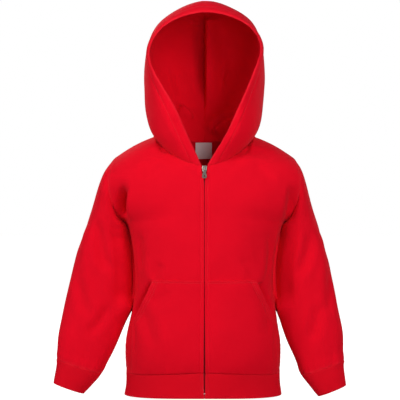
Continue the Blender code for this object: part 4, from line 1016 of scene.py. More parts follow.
# ---------------------------------------------------------------- creases, placed one by one
CREASES = {
    "front_R": (  # the viewer's left
        Fold("front", [(-146, -94), (-151, -112), (-153.5, -132), (-150, -156)], 19, 5.5, 8.5, 0.1, 0.35, 0.2),
        Fold("front", [(-124, -176), (-121, -215), (-118, -258)], 4.0, 12, 10, 0.3),
        Fold("front", [(-114, -222), (-110, -250), (-103, -276)], -2.2, 11, 10, 0.2),
        Fold("front", [(-80, -236), (-90, -256), (-98, -272)], 2.4, 10, 9),
        Fold("front", [(-58, -14), (-84, -30), (-116, -36)], 2.4, 9, 11),
        Fold("front", [(-70, -34), (-98, -58), (-122, -84)], 1.6, 10, 12),
        Fold("front", [(-122, -318), (-98, -366), (-92, -404)], 2.4, 12, 12),
        Fold("front", [(-62, -286), (-80, -304), (-100, -312)], 1.4, 10, 10),
    ),
    "front_L": (  # the viewer's right
        Fold("front", [(120, -180), (124, -222), (118, -268)], 3.6, 10, 9),
        Fold("front", [(104, -212), (108, -244), (98, -286)], -2.0, 9, 9, 0.2),
        Fold("front", [(58, -16), (92, -32), (132, -30)], 3.0, 8, 12),
        Fold("front", [(84, -52), (112, -72), (134, -100)], 1.6, 10, 12),
        Fold("front", [(100, -286), (114, -330), (116, -380)], 2.2, 10, 12),
        Fold("front", [(66, -228), (82, -246), (90, -268)], 1.6, 9, 9),
    ),
    "back": (
        Fold("back", [(150, -96), (140, -128), (118, -158), (92, -176)], 6.0, 11, 9),
        Fold("back", [(-152, -92), (-143, -122), (-124, -150), (-104, -164)], 7.0, 10, 12),
        Fold("back", [(124, -214), (112, -262), (118, -318)], 4.4, 14, 10),
        Fold("back", [(-118, -196), (-126, -250), (-120, -300)], 4.0, 11, 14),
        Fold("back", [(-14, -70), (4, -120), (-8, -190)], 2.2, 18, 14),
        Fold("back", [(48, -120), (30, -196), (42, -268)], 2.0, 20, 14),
        Fold("back", [(-70, -372), (-24, -392), (40, -386), (84, -402)], 3.4, 9, 7),
        Fold("back", [(-112, -398), (-74, -412), (-30, -415)], 2.2, 6, 8),
        Fold("back", [(20, -414), (66, -420), (106, -408)], 2.0, 6, 7),
        Fold("back", [(-60, -34), (-88, -52), (-122, -58)], 2.2, 10, 9),
        Fold("back", [(58, -30), (96, -48), (128, -62)], 2.0, 12, 9),
    ),
    "sleeve_R": (
        Fold("front", [(-203, -150), (-199, -190), (-190, -236), (-174, -262)], 5.6, 9, 9),
        Fold("front", [(-172, -100), (-171, -160), (-166, -228), (-158, -268)], -3.4, 9, 9, 0.2),
        Fold("front", [(-226, -160), (-224, -230), (-222, -300)], -2.4, 11, 10, 0.2),
        Fold("front", [(-238, -262), (-232, -306), (-216, -344)], 3.0, 9, 10),
        Fold("front", [(-178, -312), (-196, -350), (-224, -380)], 3.4, 9, 9),
        Fold("back", [(-160, -200), (-186, -232), (-226, -254)], 5.6, 9, 8),
        Fold("back", [(-152, -250), (-180, -284), (-222, -300)], 4.6, 8, 10),
        Fold("back", [(-166, -330), (-200, -346), (-242, -344)], 4.2, 8, 8),
        Fold("right", [(-10, -150), (12, -190), (24, -240)], 1.4, 9, 9),
    ),
    "sleeve_L": (
        Fold("front", [(198, -170), (195, -214), (182, -252), (168, -274)], 4.6, 10, 9),
        Fold("front", [(176, -108), (174, -170), (168, -222)], -3.0, 9, 9, 0.2),
        Fold("front", [(222, -170), (224, -240), (226, -300)], -2.0, 11, 11, 0.2),
        Fold("front", [(214, -312), (209, -356), (198, -394)], 3.8, 10, 10),
        Fold("front", [(234, -250), (238, -300), (230, -348)], 2.4, 9, 10),
        Fold("back", [(158, -204), (190, -224), (224, -226)], 5.8, 9, 8),
        Fold("back", [(150, -262), (182, -292), (226, -296)], 4.6, 9, 9),
        Fold("back", [(172, -348), (206, -352), (240, -338)], 4.0, 8, 8),
        Fold("left", [(-10, -160), (14, -205), (20, -262)], 1.4, 9, 9),
    ),
    "hood_R": (
        Fold("back", [(-10, 214), (-6, 170), (-4, 118), (-2, 84)], -3.0, 9, 9, 0.3),
        Fold("back", [(-64, 128), (-52, 96), (-38, 74)], 4.2, 9, 9),
        Fold("back", [(-70, 70), (-48, 48), (-22, 40)], 3.4, 7, 8),
        Fold("front", [(-60, 34), (-46, 12), (-28, -14)], 3.4, 9, 8),
    ),
    "hood_L": (
        Fold("back", [(10, 214), (6, 170), (4, 118), (2, 84)], -3.0, 9, 9, 0.3),
        Fold("back", [(58, 134), (50, 100), (34, 76)], 4.4, 9, 9),
        Fold("back", [(72, 64), (46, 44), (20, 38)], 3.2, 7, 8),
        Fold("front", [(58, 30), (44, 10), (24, -12)], 3.4, 9, 8),
    ),
}
VALLEYS = {  # where a sleeve folds against the body: way, depth, reach on the body's side and on the sleeve's side
    "R": ([(-143, -80), (-150, -102), (-154, -126), (-152, -152), (-146, -182), (-140, -212), (-137, -246), (-136, -288), (-141, -332)], 36, 7, 23),
    "L": ([(160, -88), (160, -112), (156, -138), (151, -166), (145, -194), (139, -222), (136, -252), (136, -290), (141, -330)], 42, 5, 21),
}


def valley(points, way, depth, body_side, sleeve_side):
    """The valley's push to the back; it depends on the place alone, so that pieces stay together at a seam."""
    line = waved(way, 60)
    best, side, where = np.full(points.shape[:-1], 1e9), np.zeros(points.shape[:-1]), np.zeros(points.shape[:-1])
    for i in range(len(line) - 1):
        a, d = line[i], line[i + 1] - line[i]
        gap = points[..., [0, 2]] - a
        t = np.clip(gap @ d / (d @ d), 0, 1)
        gap = gap - t[..., None] * d
        far = np.linalg.norm(gap, axis=-1)
        closer = far < best
        side = np.where(closer, gap[..., 0] * np.sign(line[0, 0]), side)
        where, best = np.where(closer, (i + t) / (len(line) - 1), where), np.where(closer, far, best)
    width = np.where(side > 0, sleeve_side, body_side)
    armpit = smooth((points[..., 2] + 196) / 36)  # the push reaches further back there, and is less
    push = depth * (1 - 0.38 * armpit) * smooth(where / 0.2) * smooth((1 - where) / 0.14)
    return push * np.exp(-((best / width) ** 2)) * smooth((-points[..., 1] + 4 + 18 * armpit) / (26 + 12 * armpit))


LINING_CREASES = (  # on the face that shows inside the hood, for both halves; below 0 they stand into the hood
    Fold("front", [(-4, 219), (-16, 222), (-32, 217)], -5, 5, 5, 0.0),
    Fold("front", [(-54, 60), (-38, 50), (-20, 28)], -13, 6, 17, 0.0, 0.2, 0.3),
    Fold("front", [(15, 2), (29, 18), (58, 36)], -13, 4.2, 13, 0.0, 0.15, 0.3),
    Fold("front", [(7, 10), (21, 28), (54, 47)], -9, 13, 4.6, 0.0, 0.15, 0.3),
    Fold("front", [(54, 176), (52, 130), (46, 92)], -6, 14, 16, 0.0),
)

EDGE_STITCH = 5.6  # from the front edges
HOOD_STITCH = 20.0  # from the face edge
shares = {}
for name, c in cloth.items():
    grid, closed, flip, thick = c
    n = normals_of(grid, closed, flip)
    d = edge_distances(grid, closed)
    nearest = np.minimum.reduce(list(d.values()))
    u = run(grid, 1)
    flat, flat_n = grid.reshape(-1, 3), n.reshape(-1, 3)
    kind = name.split("_")[0]
    shift = np.zeros(grid.shape[:2])
    for fold in CREASES.get(name, ()):
        shift += fold_depth(flat, flat_n, fold).reshape(shift.shape)
    shift += uneven(grid, SLOW_WAVES, 1.2 if kind != "hood" else 0.8)
    if kind in ("waistband", "cuff"):
        col = np.arange(grid.shape[1])
        swell = np.sin(np.pi * np.arange(grid.shape[0]) / (grid.shape[0] - 1))[:, None]
        shift = 0.35 * shift * smooth(nearest / 8) + 0.7 * swell + 0.30 * np.cos(np.pi * col / 2)[None]
        if kind == "waistband":
            for e in "lr":
                shift += groove(d[e], EDGE_STITCH, 0.4, 1.1) - 0.3 * np.cos(np.pi * col / 2)[None] * smooth(1 - d[e] / 5)
    else:
        ease = smooth(nearest / 13)
        if kind == "front":  # the fold at the armpit runs nearly to the seam
            ease = np.maximum(ease, smooth(d["r"] / 5) * smooth(d["l"] / 13) * smooth(d["t"] / 13) * smooth(d["b"] / 13))
        shift *= ease
        around = u / (u[:, -1:] + 1e-9)
        if kind == "front":
            shift += puckers(d["b"], u, 0.5, 12, 17, 1.0) + puckers(d["r"], d["b"], 0.35, 7, 13, 2.0)
            shift += groove(d["l"], EDGE_STITCH, 1.15, 2.2) + 0.5 * np.exp(-(((d["l"] - 2.4) / 1.5) ** 2))
            shift += puckers(d["l"], d["b"], 0.16, 9, 9, 0.7) * (d["l"] > 0)
            seams = "btr"
        elif kind == "back":
            shift += puckers(d["b"], u, 0.7, 16, 21, 2.6) + puckers(d["l"], d["b"], 0.3, 7, 14, 0.3)
            shift += puckers(d["r"], d["b"], 0.3, 7, 12, 1.9)
            seams = "btlr"
        elif kind == "sleeve":
            for k, a, p in ((7, 0.8, 0.4), (11, 0.6, 1.9), (17, 0.3, 3.1)):
                shift += a * np.sin(2 * np.pi * k * around + p) * np.exp(-d["t"] / 24)
            shift += 0.3 * np.sin(2 * np.pi * 23 * around + 1.0) * np.exp(-d["b"] / 8)
            shift += 1.0 * np.exp(-(((d["t"] - 10) / 7) ** 2))
            underarm = np.minimum(u, u[:, -1:] - u)
            shift += groove(underarm, 0, 0.7, 1.6) * smooth(nearest / 3)
            seams = "bt"
        else:
            hem = d["b"]
            inside = np.clip(hem / HOOD_STITCH, 0, 1)
            shift += 1.2 * np.sin(np.pi * inside) ** 0.7 * (hem < HOOD_STITCH) + groove(hem, HOOD_STITCH, 0.9, 1.9)
            shift += puckers(hem, u, 0.3, 26, 19, 0.9)
            roll = 3.4
            shift -= np.where(hem < roll, roll - np.sqrt(np.maximum(roll**2 - (roll - hem) ** 2, 0)), 0) * 0.75
            seams = "tlr"
        for e in seams:
            shift += groove(d[e], 0, 0.3 if e != "b" else 0.1, 2.4)
    new = grid + n * shift[..., None]
    if kind in ("front", "sleeve"):
        new[..., 1] += valley(grid, *VALLEYS[name[-1]])
    if kind == "hood":
        left = 1 if name.endswith("L") else -1
        high, reach = (166, 8.0) if left == 1 else (160, 6.0)  # the face edge stands out to the sides at the temples
        new[..., 0] += left * reach * np.exp(-(((grid[..., 2] - high) / 36) ** 2)) * smooth(1 - d["b"] / 50)
        new[..., 0] -= new[:, -1:, 0] * np.exp(-((d["r"] / 9) ** 2))
    if kind == "waistband":  # its ends close a little below the zip's box
        near = smooth(1 - np.minimum(d["l"], d["r"]) / 26) * smooth(1 - d["b"] / 14)
        new[..., 0] -= np.sign(grid[..., 0]) * 0.95 * near
    if kind == "front":  # the edges all but meet over the zip, and part a little towards the hem
        to = 0.4 + 0.9 * smooth((-290 - grid[..., 2]) / 150)
        new[..., 0] -= np.sign(grid[..., 0]) * (ZIP_GAP - to) * smooth(1 - d["l"] / 30) * smooth((ZIP_GAP_FROM - grid[..., 2]) / 26)
    c[0] = new
    shares[name] = (d, u)


# ---------------------------------------------------------------- the sleeves lie against the body's sides
def quads_of(rows, cols, first):
    idx = first + np.arange(rows * cols).reshape(rows, cols)
    return np.stack([idx[:-1, :-1], idx[:-1, 1:], idx[1:, 1:], idx[1:, :-1]], axis=-1).reshape(-1, 4)


for tag, toward in (("L", -1.0), ("R", 1.0)):
    sides = [cloth[f"front_{tag}"][0], cloth["back"][0]]
    quads, count = [], 0
    for g in sides:
        quads.append(quads_of(*g.shape[:2], count))
        count += g.shape[0] * g.shape[1]
    body = BVHTree.FromPolygons(np.concatenate([g.reshape(-1, 3) for g in sides]).tolist(), np.concatenate(quads).tolist())
    grid, closed, flip, _ = cloth[f"sleeve_{tag}"]
    n = normals_of(grid, closed, flip)
    press = smooth((n[..., 0] * toward - 0.1) / 0.5) * smooth((-150 - grid[..., 2]) / 22) * smooth((grid[..., 2] + 352) / 36)
    press = press * smooth((grid[..., 1] + 40) / 12)
    move = np.zeros(grid.shape[:2])
    for i, j in zip(*np.nonzero(press > 0.01)):
        p = grid[i, j]
        hit = body.ray_cast(Vector((p[0] - toward * 30, p[1], p[2])), Vector((toward, 0, 0)), 60)[0]
        if hit is not None:
            move[i, j] = min(max((hit[0] - p[0]) * toward - 0.45, -9), 11) * press[i, j]
    for _ in range(2):
        move[1:-1] = (move[:-2] + 2 * move[1:-1] + move[2:]) / 4
        move = (np.roll(move, 1, 1) + 2 * move + np.roll(move, -1, 1)) / 4
    grid[..., 0] += toward * move


# ---------------------------------------------------------------- turned edges, drawn in so that seams just meet
def seam_insets():
    marks = []
    for name, (grid, closed, flip, thick) in cloth.items():
        flat, n = grid.reshape(-1, 3), normals_of(grid, closed, flip).reshape(-1, 3)
        for loop, letters in edge_loops(*grid.shape[:2], closed):
            out = outward(flat, loop, n, flip)
            for i, letter, o in zip(loop, letters, out):
                marks.append((name, i, letter, flat[i], n[i], o))
    tree = kdtree.KDTree(len(marks))
    for k, m in enumerate(marks):
        tree.insert(m[3], k)
    tree.balance()
    by = {}
    for name, (grid, closed, flip, thick) in cloth.items():
        rows, cols = grid.shape[:2]
        by[name] = {"b": np.zeros(cols), "t": np.zeros(cols), "l": np.zeros(rows), "r": np.zeros(rows)}
    for name, i, letter, p, n, out in marks:
        thick = cloth[name][3]
        mates = [k for _, k, far in tree.find_range(p, 3.0) if marks[k][0] != name]
        draw = min(CORNER, thick / 2)
        if mates:
            mate = marks[min(mates, key=lambda k: np.sum((marks[k][3] - p) ** 2))]
            bend = math.atan2(float(out @ mate[4]), float(n @ mate[4]))
            bend = max(-1.2, min(1.0, bend))  # above 0 the pieces meet in a ridge and their inner corners come first
            draw += STITCH_GAP / 2 + (min(0.4, thick * math.tan(bend / 2)) if bend > 0 else -draw * 0.6 * math.sin(-bend / 2))
        cols = cloth[name][0].shape[1]
        at = i % cols if letter in "bt" else i // cols
        by[name][letter][at] = max(by[name][letter][at], draw)
        if not cloth[name][1]:  # a corner belongs to both of its edges
            r, c = divmod(int(i), cols)
            rows = cloth[name][0].shape[0]
            for e, here, k in (("b", r == 0, c), ("t", r == rows - 1, c), ("l", c == 0, r), ("r", c == cols - 1, r)):
                if here:
                    by[name][e][k] = max(by[name][e][k], draw)
    for name, edges in by.items():
        for e, values in edges.items():
            for _ in range(3):
                values[1:-1] = (values[:-2] + 2 * values[1:-1] + values[2:]) / 4
    return by


drawn = seam_insets()
for tag in "LR":  # nothing shows through the hood's centre seam
    drawn[f"hood_{tag}"]["r"][:] = CORNER - 0.06
faces_of = {"back": sweat, "front": sweat, "sleeve": sweat, "waistband": rib_cloth, "cuff": rib_cloth, "hood": hood_cloth}
slots = {"back": "sweat_cloth", "front": "sweat_cloth", "sleeve": "sweat_cloth", "waistband": "rib_cloth", "cuff": "rib_cloth", "hood": "hood_cloth"}
pieces = {}


def placed(piece, node_name, body="garment"):
    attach(piece, body)
    if node_name:
        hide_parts(*([node_name] if isinstance(node_name, str) else node_name))
    return piece


MOUTHS = {  # the front falls back behind a pocket's slanted edge
    "front_R": (Fold("front", [(-95, -273), (-107, -290), (-119, -308), (-129, -327), (-138, -352)], 15, 5, 7, 0.0, 0.2, 0.3),),
    "front_L": (Fold("front", [(100, -273), (107, -287), (115, -304), (123, -322), (131, -348)], 13, 6.5, 5, 0.0, 0.2, 0.3),),
}
for name, (grid, closed, flip, thick) in cloth.items():
    kind = name.split("_")[0]
    d = shares[name][0]
    for fold in MOUTHS.get(name, ()):
        n = normals_of(grid, closed, flip)
        grid = grid + n * fold_depth(grid.reshape(-1, 3), n.reshape(-1, 3), fold).reshape(grid.shape[:2])[..., None]
    # lighter colour along seams and edges: partly wear, partly a painted highlight on the seams' lit ridges
    worn_and_lit = np.zeros(grid.shape[:2])
    for e in d:
        seam = (kind, e) in (("front", "r"), ("back", "l"), ("back", "r"), ("sleeve", "t"), ("hood", "b"))
        worn_and_lit = np.maximum(worn_and_lit, np.exp(-((d[e] / 3.2) ** 2)) * 1.5 if seam else np.exp(-d[e] / 2.5) * 0.5)
    pieces[name] = shell(f"cloth_{name}", inset(grid, closed, drawn[name]), closed, flip, thick, [faces_of[kind]], worn_and_lit, slots[kind] == "rib_cloth")
    placed(pieces[name], name)

# ---------------------------------------------------------------- the hood's lining
for tag in "LR":
    grid, closed, flip, thick = cloth[f"hood_{tag}"]
    d, u = shares[f"hood_{tag}"]
    n = normals_of(grid, closed, flip)
    shown = grid - n * (HOOD_CLOTH + LAYER_GAP + LINING_CLOTH)
    shown = relaxed(shown, closed, 6)
    inward = normals_of(shown, closed, not flip)
    shift = np.zeros(shown.shape[:2])
    for fold in LINING_CREASES:
        shift += fold_depth(shown.reshape(-1, 3), inward.reshape(-1, 3), fold).reshape(shift.shape)
    shift = np.maximum(shift, -1.5) * smooth(np.minimum(d["b"], d["l"]) / 16) * smooth(d["t"] / 16)
    shift += (0.5 + 0.5 * uneven(shown, SLOW_WAVES, 1.0)) * smooth(d["b"] / 12) * smooth(d["l"] / 12)
    shift += groove(d["b"], HOOD_STITCH, 0.5, 1.8) + groove(d["r"], 0, 0.8, 2.4)
    shown = shown + inward * shift[..., None]
    shown[..., 0] -= shown[:, -1:, 0] * np.exp(-((d["r"] / 9) ** 2))
    x, z = np.abs(shown[..., 0]), shown[..., 2]  # the cloth stands up beside the centre seam, and hangs into a valley there
    high = smooth((z - 44) / 90) * smooth((236 - z) / 14) * smooth((shown[..., 1] + 10) / 30)
    if tag == "L":
        shown[..., 1] -= high * 44 * smooth(x / 4.6) * np.where(x > 4.6, np.exp(-(((x - 4.6) / 27) ** 2)), 1)
    else:
        crest = 25 - 9 * smooth((120 - z) / 70)
        shown[..., 1] -= high * 19 * smooth(x / crest) * np.where(x > crest, np.exp(-(((x - crest) / 34) ** 2)), 1)
    cloth[f"hood_lining_{tag}"] = [shown, closed, not flip, LINING_CLOTH]
    s = run(grid, 0)[:, 0]  # it is caught in the neck seam and ends just inside it
    stub = 3.4 * smooth((s - 8) / 22) * smooth((s[-1] - s) / 18)
    shown = np.concatenate([shown[:, :1] + (stub[:, None] * unit(shown[:, 0] - shown[:, 2]))[:, None], shown], axis=1)
    stub = 0.02 + 3.4 * smooth(run(shown, 1)[-1] / 24)
    shown = np.concatenate([shown, (shown[-1] + stub[:, None] * unit(shown[-1] - shown[-3]))[None]], axis=0)
    shown[:, -1, 0] = 0
    edge = np.full(shown.shape[1], 2.2)
    by = {"b": edge, "t": edge * 0 + 0.1, "l": np.full(len(shown), 0.1), "r": np.full(len(shown), CORNER - 0.06)}
    piece = shell(f"cloth_hood_lining_{tag}", inset(shown, closed, by), closed, not flip, LINING_CLOTH, [lining_cloth])
    pieces[f"hood_lining_{tag}"] = placed(piece, f"hood_lining_{tag}")

# ---------------------------------------------------------------- pockets, laid on the fronts
threads = {}
for tag, sign in (("L", 1), ("R", -1)):
    grid, closed, flip, thick = cloth[f"front_{tag}"]
    n = normals_of(grid, closed, flip)
    heights = np.linspace(grid[0, 0, 2] + 0.3, POCKET_TOP, 84)
    rows, norms, widths = [], [], []
    for z in heights:
        r = np.interp(z, grid[:BODY_ROWS, 0, 2], np.arange(BODY_ROWS))
        i, t = int(r), r - int(r)
        line = grid[i] * (1 - t) + grid[i + 1] * t
        away = n[i] * (1 - t) + n[i + 1] * t
        slant = np.interp(z, [POCKET_SIDE_Z, POCKET_TOP], [POCKET_SIDE_X, POCKET_TOP_X])
        slant += 3.0 * np.sin(np.pi * np.clip((z - POCKET_SIDE_Z) / (POCKET_TOP - POCKET_SIDE_Z), 0, 1)) * -1  # a little hollow
        edge = slant if z > POCKET_SIDE_Z else np.interp(z, [heights[0], POCKET_SIDE_Z], [POCKET_SIDE_X_HEM, POCKET_SIDE_X])
        x = line[:, 0] * sign
        to = np.linspace(x[0], edge, 70)
        rows.append(np.stack([to * sign, np.interp(to, x, line[:, 1]), np.interp(to, x, line[:, 2])], axis=1))
        norms.append(np.stack([np.interp(to, x, away[:, k]) for k in range(3)], axis=1))
        widths.append(edge)
    rows, norms = np.array(rows), unit(np.array(norms))
    d = edge_distances(rows, False)
    up = (heights - heights[0]) / (heights[-1] - heights[0])
    open_at = np.clip((heights - POCKET_SIDE_Z) / (POCKET_TOP - POCKET_SIDE_Z), 0, 1)
    lift = BODY_CLOTH + POCKET_GAP
    lift = lift - 1.0 * np.exp(-d["b"] / 5) + 0.4 * uneven(rows, SLOW_WAVES, 1.0) * smooth(np.minimum(d["l"], d["t"]) / 12)
    lift += 2.2 * np.sin(np.pi * up)[:, None] ** 0.8 * smooth(d["l"] / 30) * smooth(d["r"] / 26)
    lift += (4.4 * np.sin(np.pi * open_at) ** 0.8)[:, None] * np.exp(-((d["r"] / 15) ** 2))
    lift += 0.9 * np.exp(-((d["t"] / 3.2) ** 2)) * smooth(d["l"] / 12)
    lift += groove(d["t"], 4.6, 0.45, 1.6) + groove(d["r"], 8.6, 0.7, 1.7) + groove(d["r"], 12.6, 1.5, 2.4)
    lift += groove(d["l"], EDGE_STITCH, 0.4, 1.6)
    lift += puckers(d["t"], run(rows, 1), 0.22, 8, 11, 0.4) + puckers(d["r"], d["b"], 0.25, 10, 12, 2.0)
    shown = rows + norms * np.maximum(lift, BODY_CLOTH + 0.2 - 1.1 * np.exp(-d["b"] / 5))[..., None]
    one = np.ones(len(shown))
    by = {"b": np.full(70, 1.15), "t": np.full(70, 1.0), "l": one * 1.0, "r": one * 1.0}
    # lighter colour along the slanted and top edges: partly wear, partly a painted highlight on the lit lips
    worn_and_lit = np.maximum(np.exp(-d["r"] / 3), np.exp(-d["t"] / 2.5) * 0.8)
    piece = shell(f"cloth_pocket_{tag}", inset(shown, False, by), False, flip, BODY_CLOTH, [sweat], worn_and_lit)
    pieces[f"pocket_{tag}"] = placed(piece, f"pocket_{tag}")
    pn = normals_of(shown, False, flip)
    cut = (POCKET_SIDE_Z - heights[0]) / (heights[-1] - heights[0]) - 0.03
    threads[f"pocket_{tag}"] = [
        at_distance(shown, pn, "t", d, 4.6, 0.04, 0.985),
        at_distance(shown, pn, "r", d, 8.6, cut, 0.99),
        at_distance(shown, pn, "r", d, 12.6, cut, 0.985),
        at_distance(shown, pn, "l", d, EDGE_STITCH, 0.01, 0.995),
    ]
    d = shares[f"front_{tag}"][0]
    s = run(grid, 0)[:, 0]
    pocket_share = np.interp(POCKET_TOP, grid[:, 0, 2], s) / s[-1]
    threads[f"front_{tag}"] = [at_distance(grid, n, "l", d, EDGE_STITCH, pocket_share + 0.006, 0.93)]
    hood_grid, _, hood_flip, _ = cloth[f"hood_{tag}"]
    threads[f"hood_{tag}"] = [
        at_distance(hood_grid, normals_of(hood_grid, False, hood_flip), "b", shares[f"hood_{tag}"][0], HOOD_STITCH, 0.02, 0.995)
    ]
    lining = cloth[f"hood_lining_{tag}"]
    threads[f"hood_lining_{tag}"] = [
        at_distance(lining[0], normals_of(lining[0], False, lining[2]), "b", shares[f"hood_{tag}"][0], HOOD_STITCH, 0.03, 0.99)
    ]
grid, _, flip, _ = cloth["waistband"]
n = normals_of(grid, False, False)
threads["waistband"] = [at_distance(grid, n, e, shares["waistband"][0], EDGE_STITCH, 0.04, 0.97) for e in "lr"]
for name, runs in threads.items():
    placed(stitches(f"stitches_{name}", runs, thread), None)

# ---------------------------------------------------------------- zip: tapes and coils behind the fronts' edges
def edge_profile():
    """The front edges' y and z from hem to neck, in the mid plane, and the outward normal there."""
    line = np.concatenate([bands_f["left"][:-1, 0], front["left"][:, 0]])[:, 1:]
    along = unit(np.gradient(line, axis=0))
    for _ in range(10):
        along[1:-1] = unit(along[:-2] + 2 * along[1:-1] + along[2:])
    return line, np.stack([-along[:, 1], along[:, 0]], axis=1)


zip_line, zip_out = edge_profile()
zip_run = np.concatenate([[0], np.cumsum(np.linalg.norm(np.diff(zip_line, axis=0), axis=1))])


def zip_point(s, deep):
    y, z = (np.interp(s, zip_run, zip_line[:, k]) for k in (0, 1))
    ny, nz = (np.interp(s, zip_run, zip_out[:, k]) for k in (0, 1))
    return np.stack([y - ny * deep, z - nz * deep], axis=-1)


for tag, sign in (("L", 1), ("R", -1)):
    side = "left" if tag == "L" else "right"
    across = np.linspace(CHAIN_WIDTH / 2 + 0.1, CHAIN_WIDTH / 2 + TAPE_WIDTH - 0.3, 10)
    face = []
    for row in list(bands_f[side][:-1]) + list(front[side]):
        x = np.abs(row[:, 0])
        face.append([np.interp(across, x, row[:, 1]), np.interp(across, x, row[:, 2])])
    face = np.array(face)  # row, y or z, place across
    face = face - (zip_out * BACKING)[:, :, None]
    s = np.linspace(1.6, zip_run[-1] - 1.6, 150)
    grid = np.empty((len(s), len(across), 3))
    for j, x in enumerate(across):
        grid[:, j, 0] = sign * x
        for k in (0, 1):
            grid[:, j, 1 + k] = np.interp(s, zip_run, face[:, k, j])
    tape = shell(f"cloth_zip_tape_{tag}", grid, False, tag == "R", TAPE_CLOTH - 0.1, [tape_cloth])
    pieces[f"zip_tape_{tag}"] = placed(tape, f"zip_tape_{tag}")


def tube(points, radius, sides):
    """Points and faces of a tube along a line."""
    along = unit(np.gradient(points, axis=0))
    side = unit(np.cross(along, np.array([0.0, 0.0, 1.0]) + 0.01))
    up = np.cross(side, along)
    turn = 2 * np.pi * np.arange(sides) / sides
    rings = points[:, None] + radius * (np.cos(turn)[None, :, None] * side[:, None] + np.sin(turn)[None, :, None] * up[:, None])
    count = len(points)
    idx = np.arange(count * sides).reshape(count, sides)
    e = np.roll(idx, -1, 1)
    faces = np.stack([idx[:-1], e[:-1], e[1:], idx[1:]], axis=-1).reshape(-1, 4)
    return rings.reshape(-1, 3), [tuple(f) for f in faces] + [tuple(idx[0, ::-1]), tuple(idx[-1])]


COIL_PITCH, COIL_WIRE = 1.35, 0.31
coil_from, coil_to = BOX_LENGTH + 1.0, np.interp(SLIDER_Z - 1.5, zip_line[:, 1], zip_run)
turns = int((coil_to - coil_from) / COIL_PITCH)
points, faces = [], []
for sign in (1, -1):
    t = np.linspace(0, turns, turns * 9 + 1)
    phase = 2 * np.pi * t + (0 if sign == 1 else np.pi)
    s = coil_from + t * COIL_PITCH
    yz = zip_point(s, BACKING + CHAIN_DEEP / 2 - np.sin(phase) * (CHAIN_DEEP / 2 - COIL_WIRE - 0.05))
    x = sign * (1.15 - np.cos(phase) * 1.2)
    line = np.stack([x, yz[:, 0], yz[:, 1]], axis=1)
    p, f = tube(line, COIL_WIRE, 5)
    faces += [tuple(int(i) + sum(len(q) for q in points) for i in face) for face in f]
    points.append(p)
for sign in (1, -1):  # the cord inside each coil
    s = np.linspace(coil_from, coil_to, 160)
    yz = zip_point(s, np.full(len(s), BACKING + CHAIN_DEEP / 2))
    p, f = tube(np.stack([np.full(len(s), sign * 0.62), yz[:, 0], yz[:, 1]], axis=1), 0.6, 8)
    faces += [tuple(int(i) + sum(len(q) for q in points) for i in face) for face in f]
    points.append(p)
coils = mesh_object("zip_coils", np.concatenate(points), faces, [coil])
mesh = bmesh.new()
mesh.from_mesh(coils.data)
bmesh.ops.recalc_face_normals(mesh, faces=mesh.faces[:])
mesh.to_mesh(coils.data)
mesh.free()
placed(coils, "zip_chain")

# ---------------------------------------------------------------- the blank neck label
grid, _, flip, _ = cloth["back"]
n = normals_of(grid, False, False)
top = len(grid) - 1
rise = run(grid[::-1], 0)[:, grid.shape[1] // 2]
down = np.linspace(1.0, LABEL_LENGTH, 30)
label_rows = []
for s in down:
    r = top - np.interp(s, rise, np.arange(len(grid)))
    i, t = int(r), r - int(r)
    i2 = min(i + 1, top)
    line, away = grid[i] * (1 - t) + grid[i2] * t, n[i] * (1 - t) + n[i2] * t
    xs = np.linspace(LABEL_LEFT, LABEL_RIGHT, 26)
    order = np.argsort(line[:, 0])
    p = np.stack([np.interp(xs, line[order, 0], line[order, k]) for k in range(3)], axis=1)
    m = np.stack([np.interp(xs, line[order, 0], away[order, k]) for k in range(3)], axis=1)
    hang = smooth((s - 4) / 26)
    curl = 0.9 * hang + 0.8 * hang * np.sin(np.pi * (xs - LABEL_RIGHT) / (LABEL_LEFT - LABEL_RIGHT) * 1.3 + 0.4)
    label_rows.append(p - m * (BODY_CLOTH + LABEL_CLOTH + 2.3 + curl)[:, None])
label_grid = np.array(label_rows)
n = normals_of(label_grid, False, False)
label_flip = bool(n[..., 1].mean() > 0)  # its face looks forward, into the neck
label = shell("cloth_neck_label", label_grid, False, label_flip, LABEL_CLOTH, [label_cloth])
pieces["neck_label"] = placed(label, "neck_label")

# ---------------------------------------------------------------- the zip's slider, pull and box keep the part's own shape
for name in ("zip_slider", "pull_tab", "zip_box"):
    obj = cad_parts[name]
    obj.data.materials.clear()
    obj.data.materials.append(coil if name == "zip_box" else metal)
    bevel = obj.modifiers.new("soft_edges", "BEVEL")
    bevel.width, bevel.segments, bevel.limit_method, bevel.angle_limit = 0.16 * MM, 2, "ANGLE", math.radians(35)
    bevel.harden_normals = False

# ================================================================ studio
floor_mesh = bpy.data.meshes.new("studio_floor")
floor_mesh.from_pydata([(-14, -14, 0), (14, -14, 0), (14, 14, 0), (-14, 14, 0)], [], [(0, 1, 2, 3)])
floor = bpy.data.objects.new("studio_floor", floor_mesh)
floor.location.z = -0.4955
bpy.context.scene.collection.objects.link(floor)
paper = bpy.data.materials.new("studio_paper")  # pale paper, lit behind the object so that it shows as white
paper.use_nodes = True
t = paper.node_tree
for old in list(t.nodes):
    t.nodes.remove(old)
matt = node(t, "ShaderNodeBsdfDiffuse", [("Color", (0.42, 0.42, 0.42, 1))])
glow = node(t, "ShaderNodeEmission", [("Color", (1, 1, 1, 1)), ("Strength", 1.0)])
both, mix = node(t, "ShaderNodeAddShader"), node(t, "ShaderNodeMixShader")
path, end = node(t, "ShaderNodeLightPath"), node(t, "ShaderNodeOutputMaterial")
t.links.new(matt.outputs[0], both.inputs[0])
t.links.new(glow.outputs[0], both.inputs[1])
t.links.new(path.outputs["Is Camera Ray"], mix.inputs[0])
t.links.new(matt.outputs[0], mix.inputs[1])
t.links.new(both.outputs[0], mix.inputs[2])
t.links.new(mix.outputs[0], end.inputs[0])
floor_mesh.materials.append(paper)

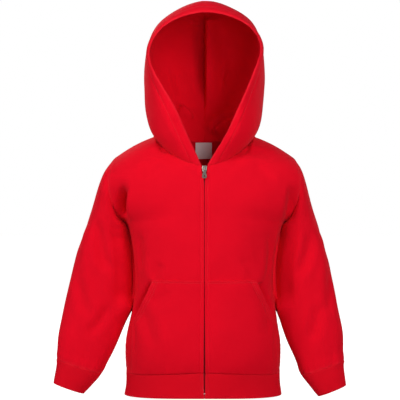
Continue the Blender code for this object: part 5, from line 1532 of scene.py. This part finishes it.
scene = bpy.context.scene
world = bpy.data.worlds.new("studio")
scene.world = world
world.use_nodes = True
t = world.node_tree
for old in list(t.nodes):
    t.nodes.remove(old)
seen = node(t, "ShaderNodeBackground", [("Color", (1, 1, 1, 1)), ("Strength", 1.0)])
lit = node(t, "ShaderNodeBackground", [("Color", (1, 1, 1, 1)), ("Strength", 0.07)])
path, mix, end = node(t, "ShaderNodeLightPath"), node(t, "ShaderNodeMixShader"), node(t, "ShaderNodeOutputWorld")
t.links.new(path.outputs["Is Camera Ray"], mix.inputs[0])
t.links.new(lit.outputs[0], mix.inputs[1])
t.links.new(seen.outputs[0], mix.inputs[2])
t.links.new(mix.outputs[0], end.inputs[0])


def area_light(name, place, aim, size, power, colour=(1, 1, 1)):
    data = bpy.data.lights.new(name, "AREA")
    data.shape, data.size, data.size_y, data.energy, data.color = "RECTANGLE", size[0], size[1], power, colour
    obj = bpy.data.objects.new(name, data)
    obj.location = place
    obj.rotation_euler = (Vector(aim) - Vector(place)).to_track_quat("-Z", "Y").to_euler()
    obj.visible_camera = False
    scene.collection.objects.link(obj)


area_light("front", (0.45, -2.7, 0.0), (0, 0, 0.1), (0.9, 0.6), 15)
area_light("key", (0.95, -1.6, 0.55), (0, 0, 0.1), (0.7, 0.7), 14)
area_light("left", (-1.5, -1.2, 0.8), (-0.05, 0, 0.12), (0.7, 0.8), 21)
area_light("top", (-0.1, -0.9, 1.6), (0, 0, 0.0), (1.2, 0.9), 5)
area_light("rear", (-1.0, 2.0, 1.0), (0, 0, -0.12), (1.2, 1.0), 26)
area_light("rear_fill", (1.4, 1.6, 0.4), (0, 0, -0.12), (1.0, 1.0), 12)

camera = bpy.data.objects.new("camera", bpy.data.cameras.new("camera"))
camera.data.sensor_width = 36.0
camera.data.lens = 36.0 * 3.2 / 0.76
camera.location = (-0.0082, -3.2, -0.1216)
camera.rotation_euler = (math.radians(90), 0, 0)
camera.data.clip_start, camera.data.clip_end = 0.1, 100
scene.collection.objects.link(camera)
scene.camera = camera
scene.view_settings.view_transform = "Standard"
scene.view_settings.look = "None"

bpy.context.view_layer.update()
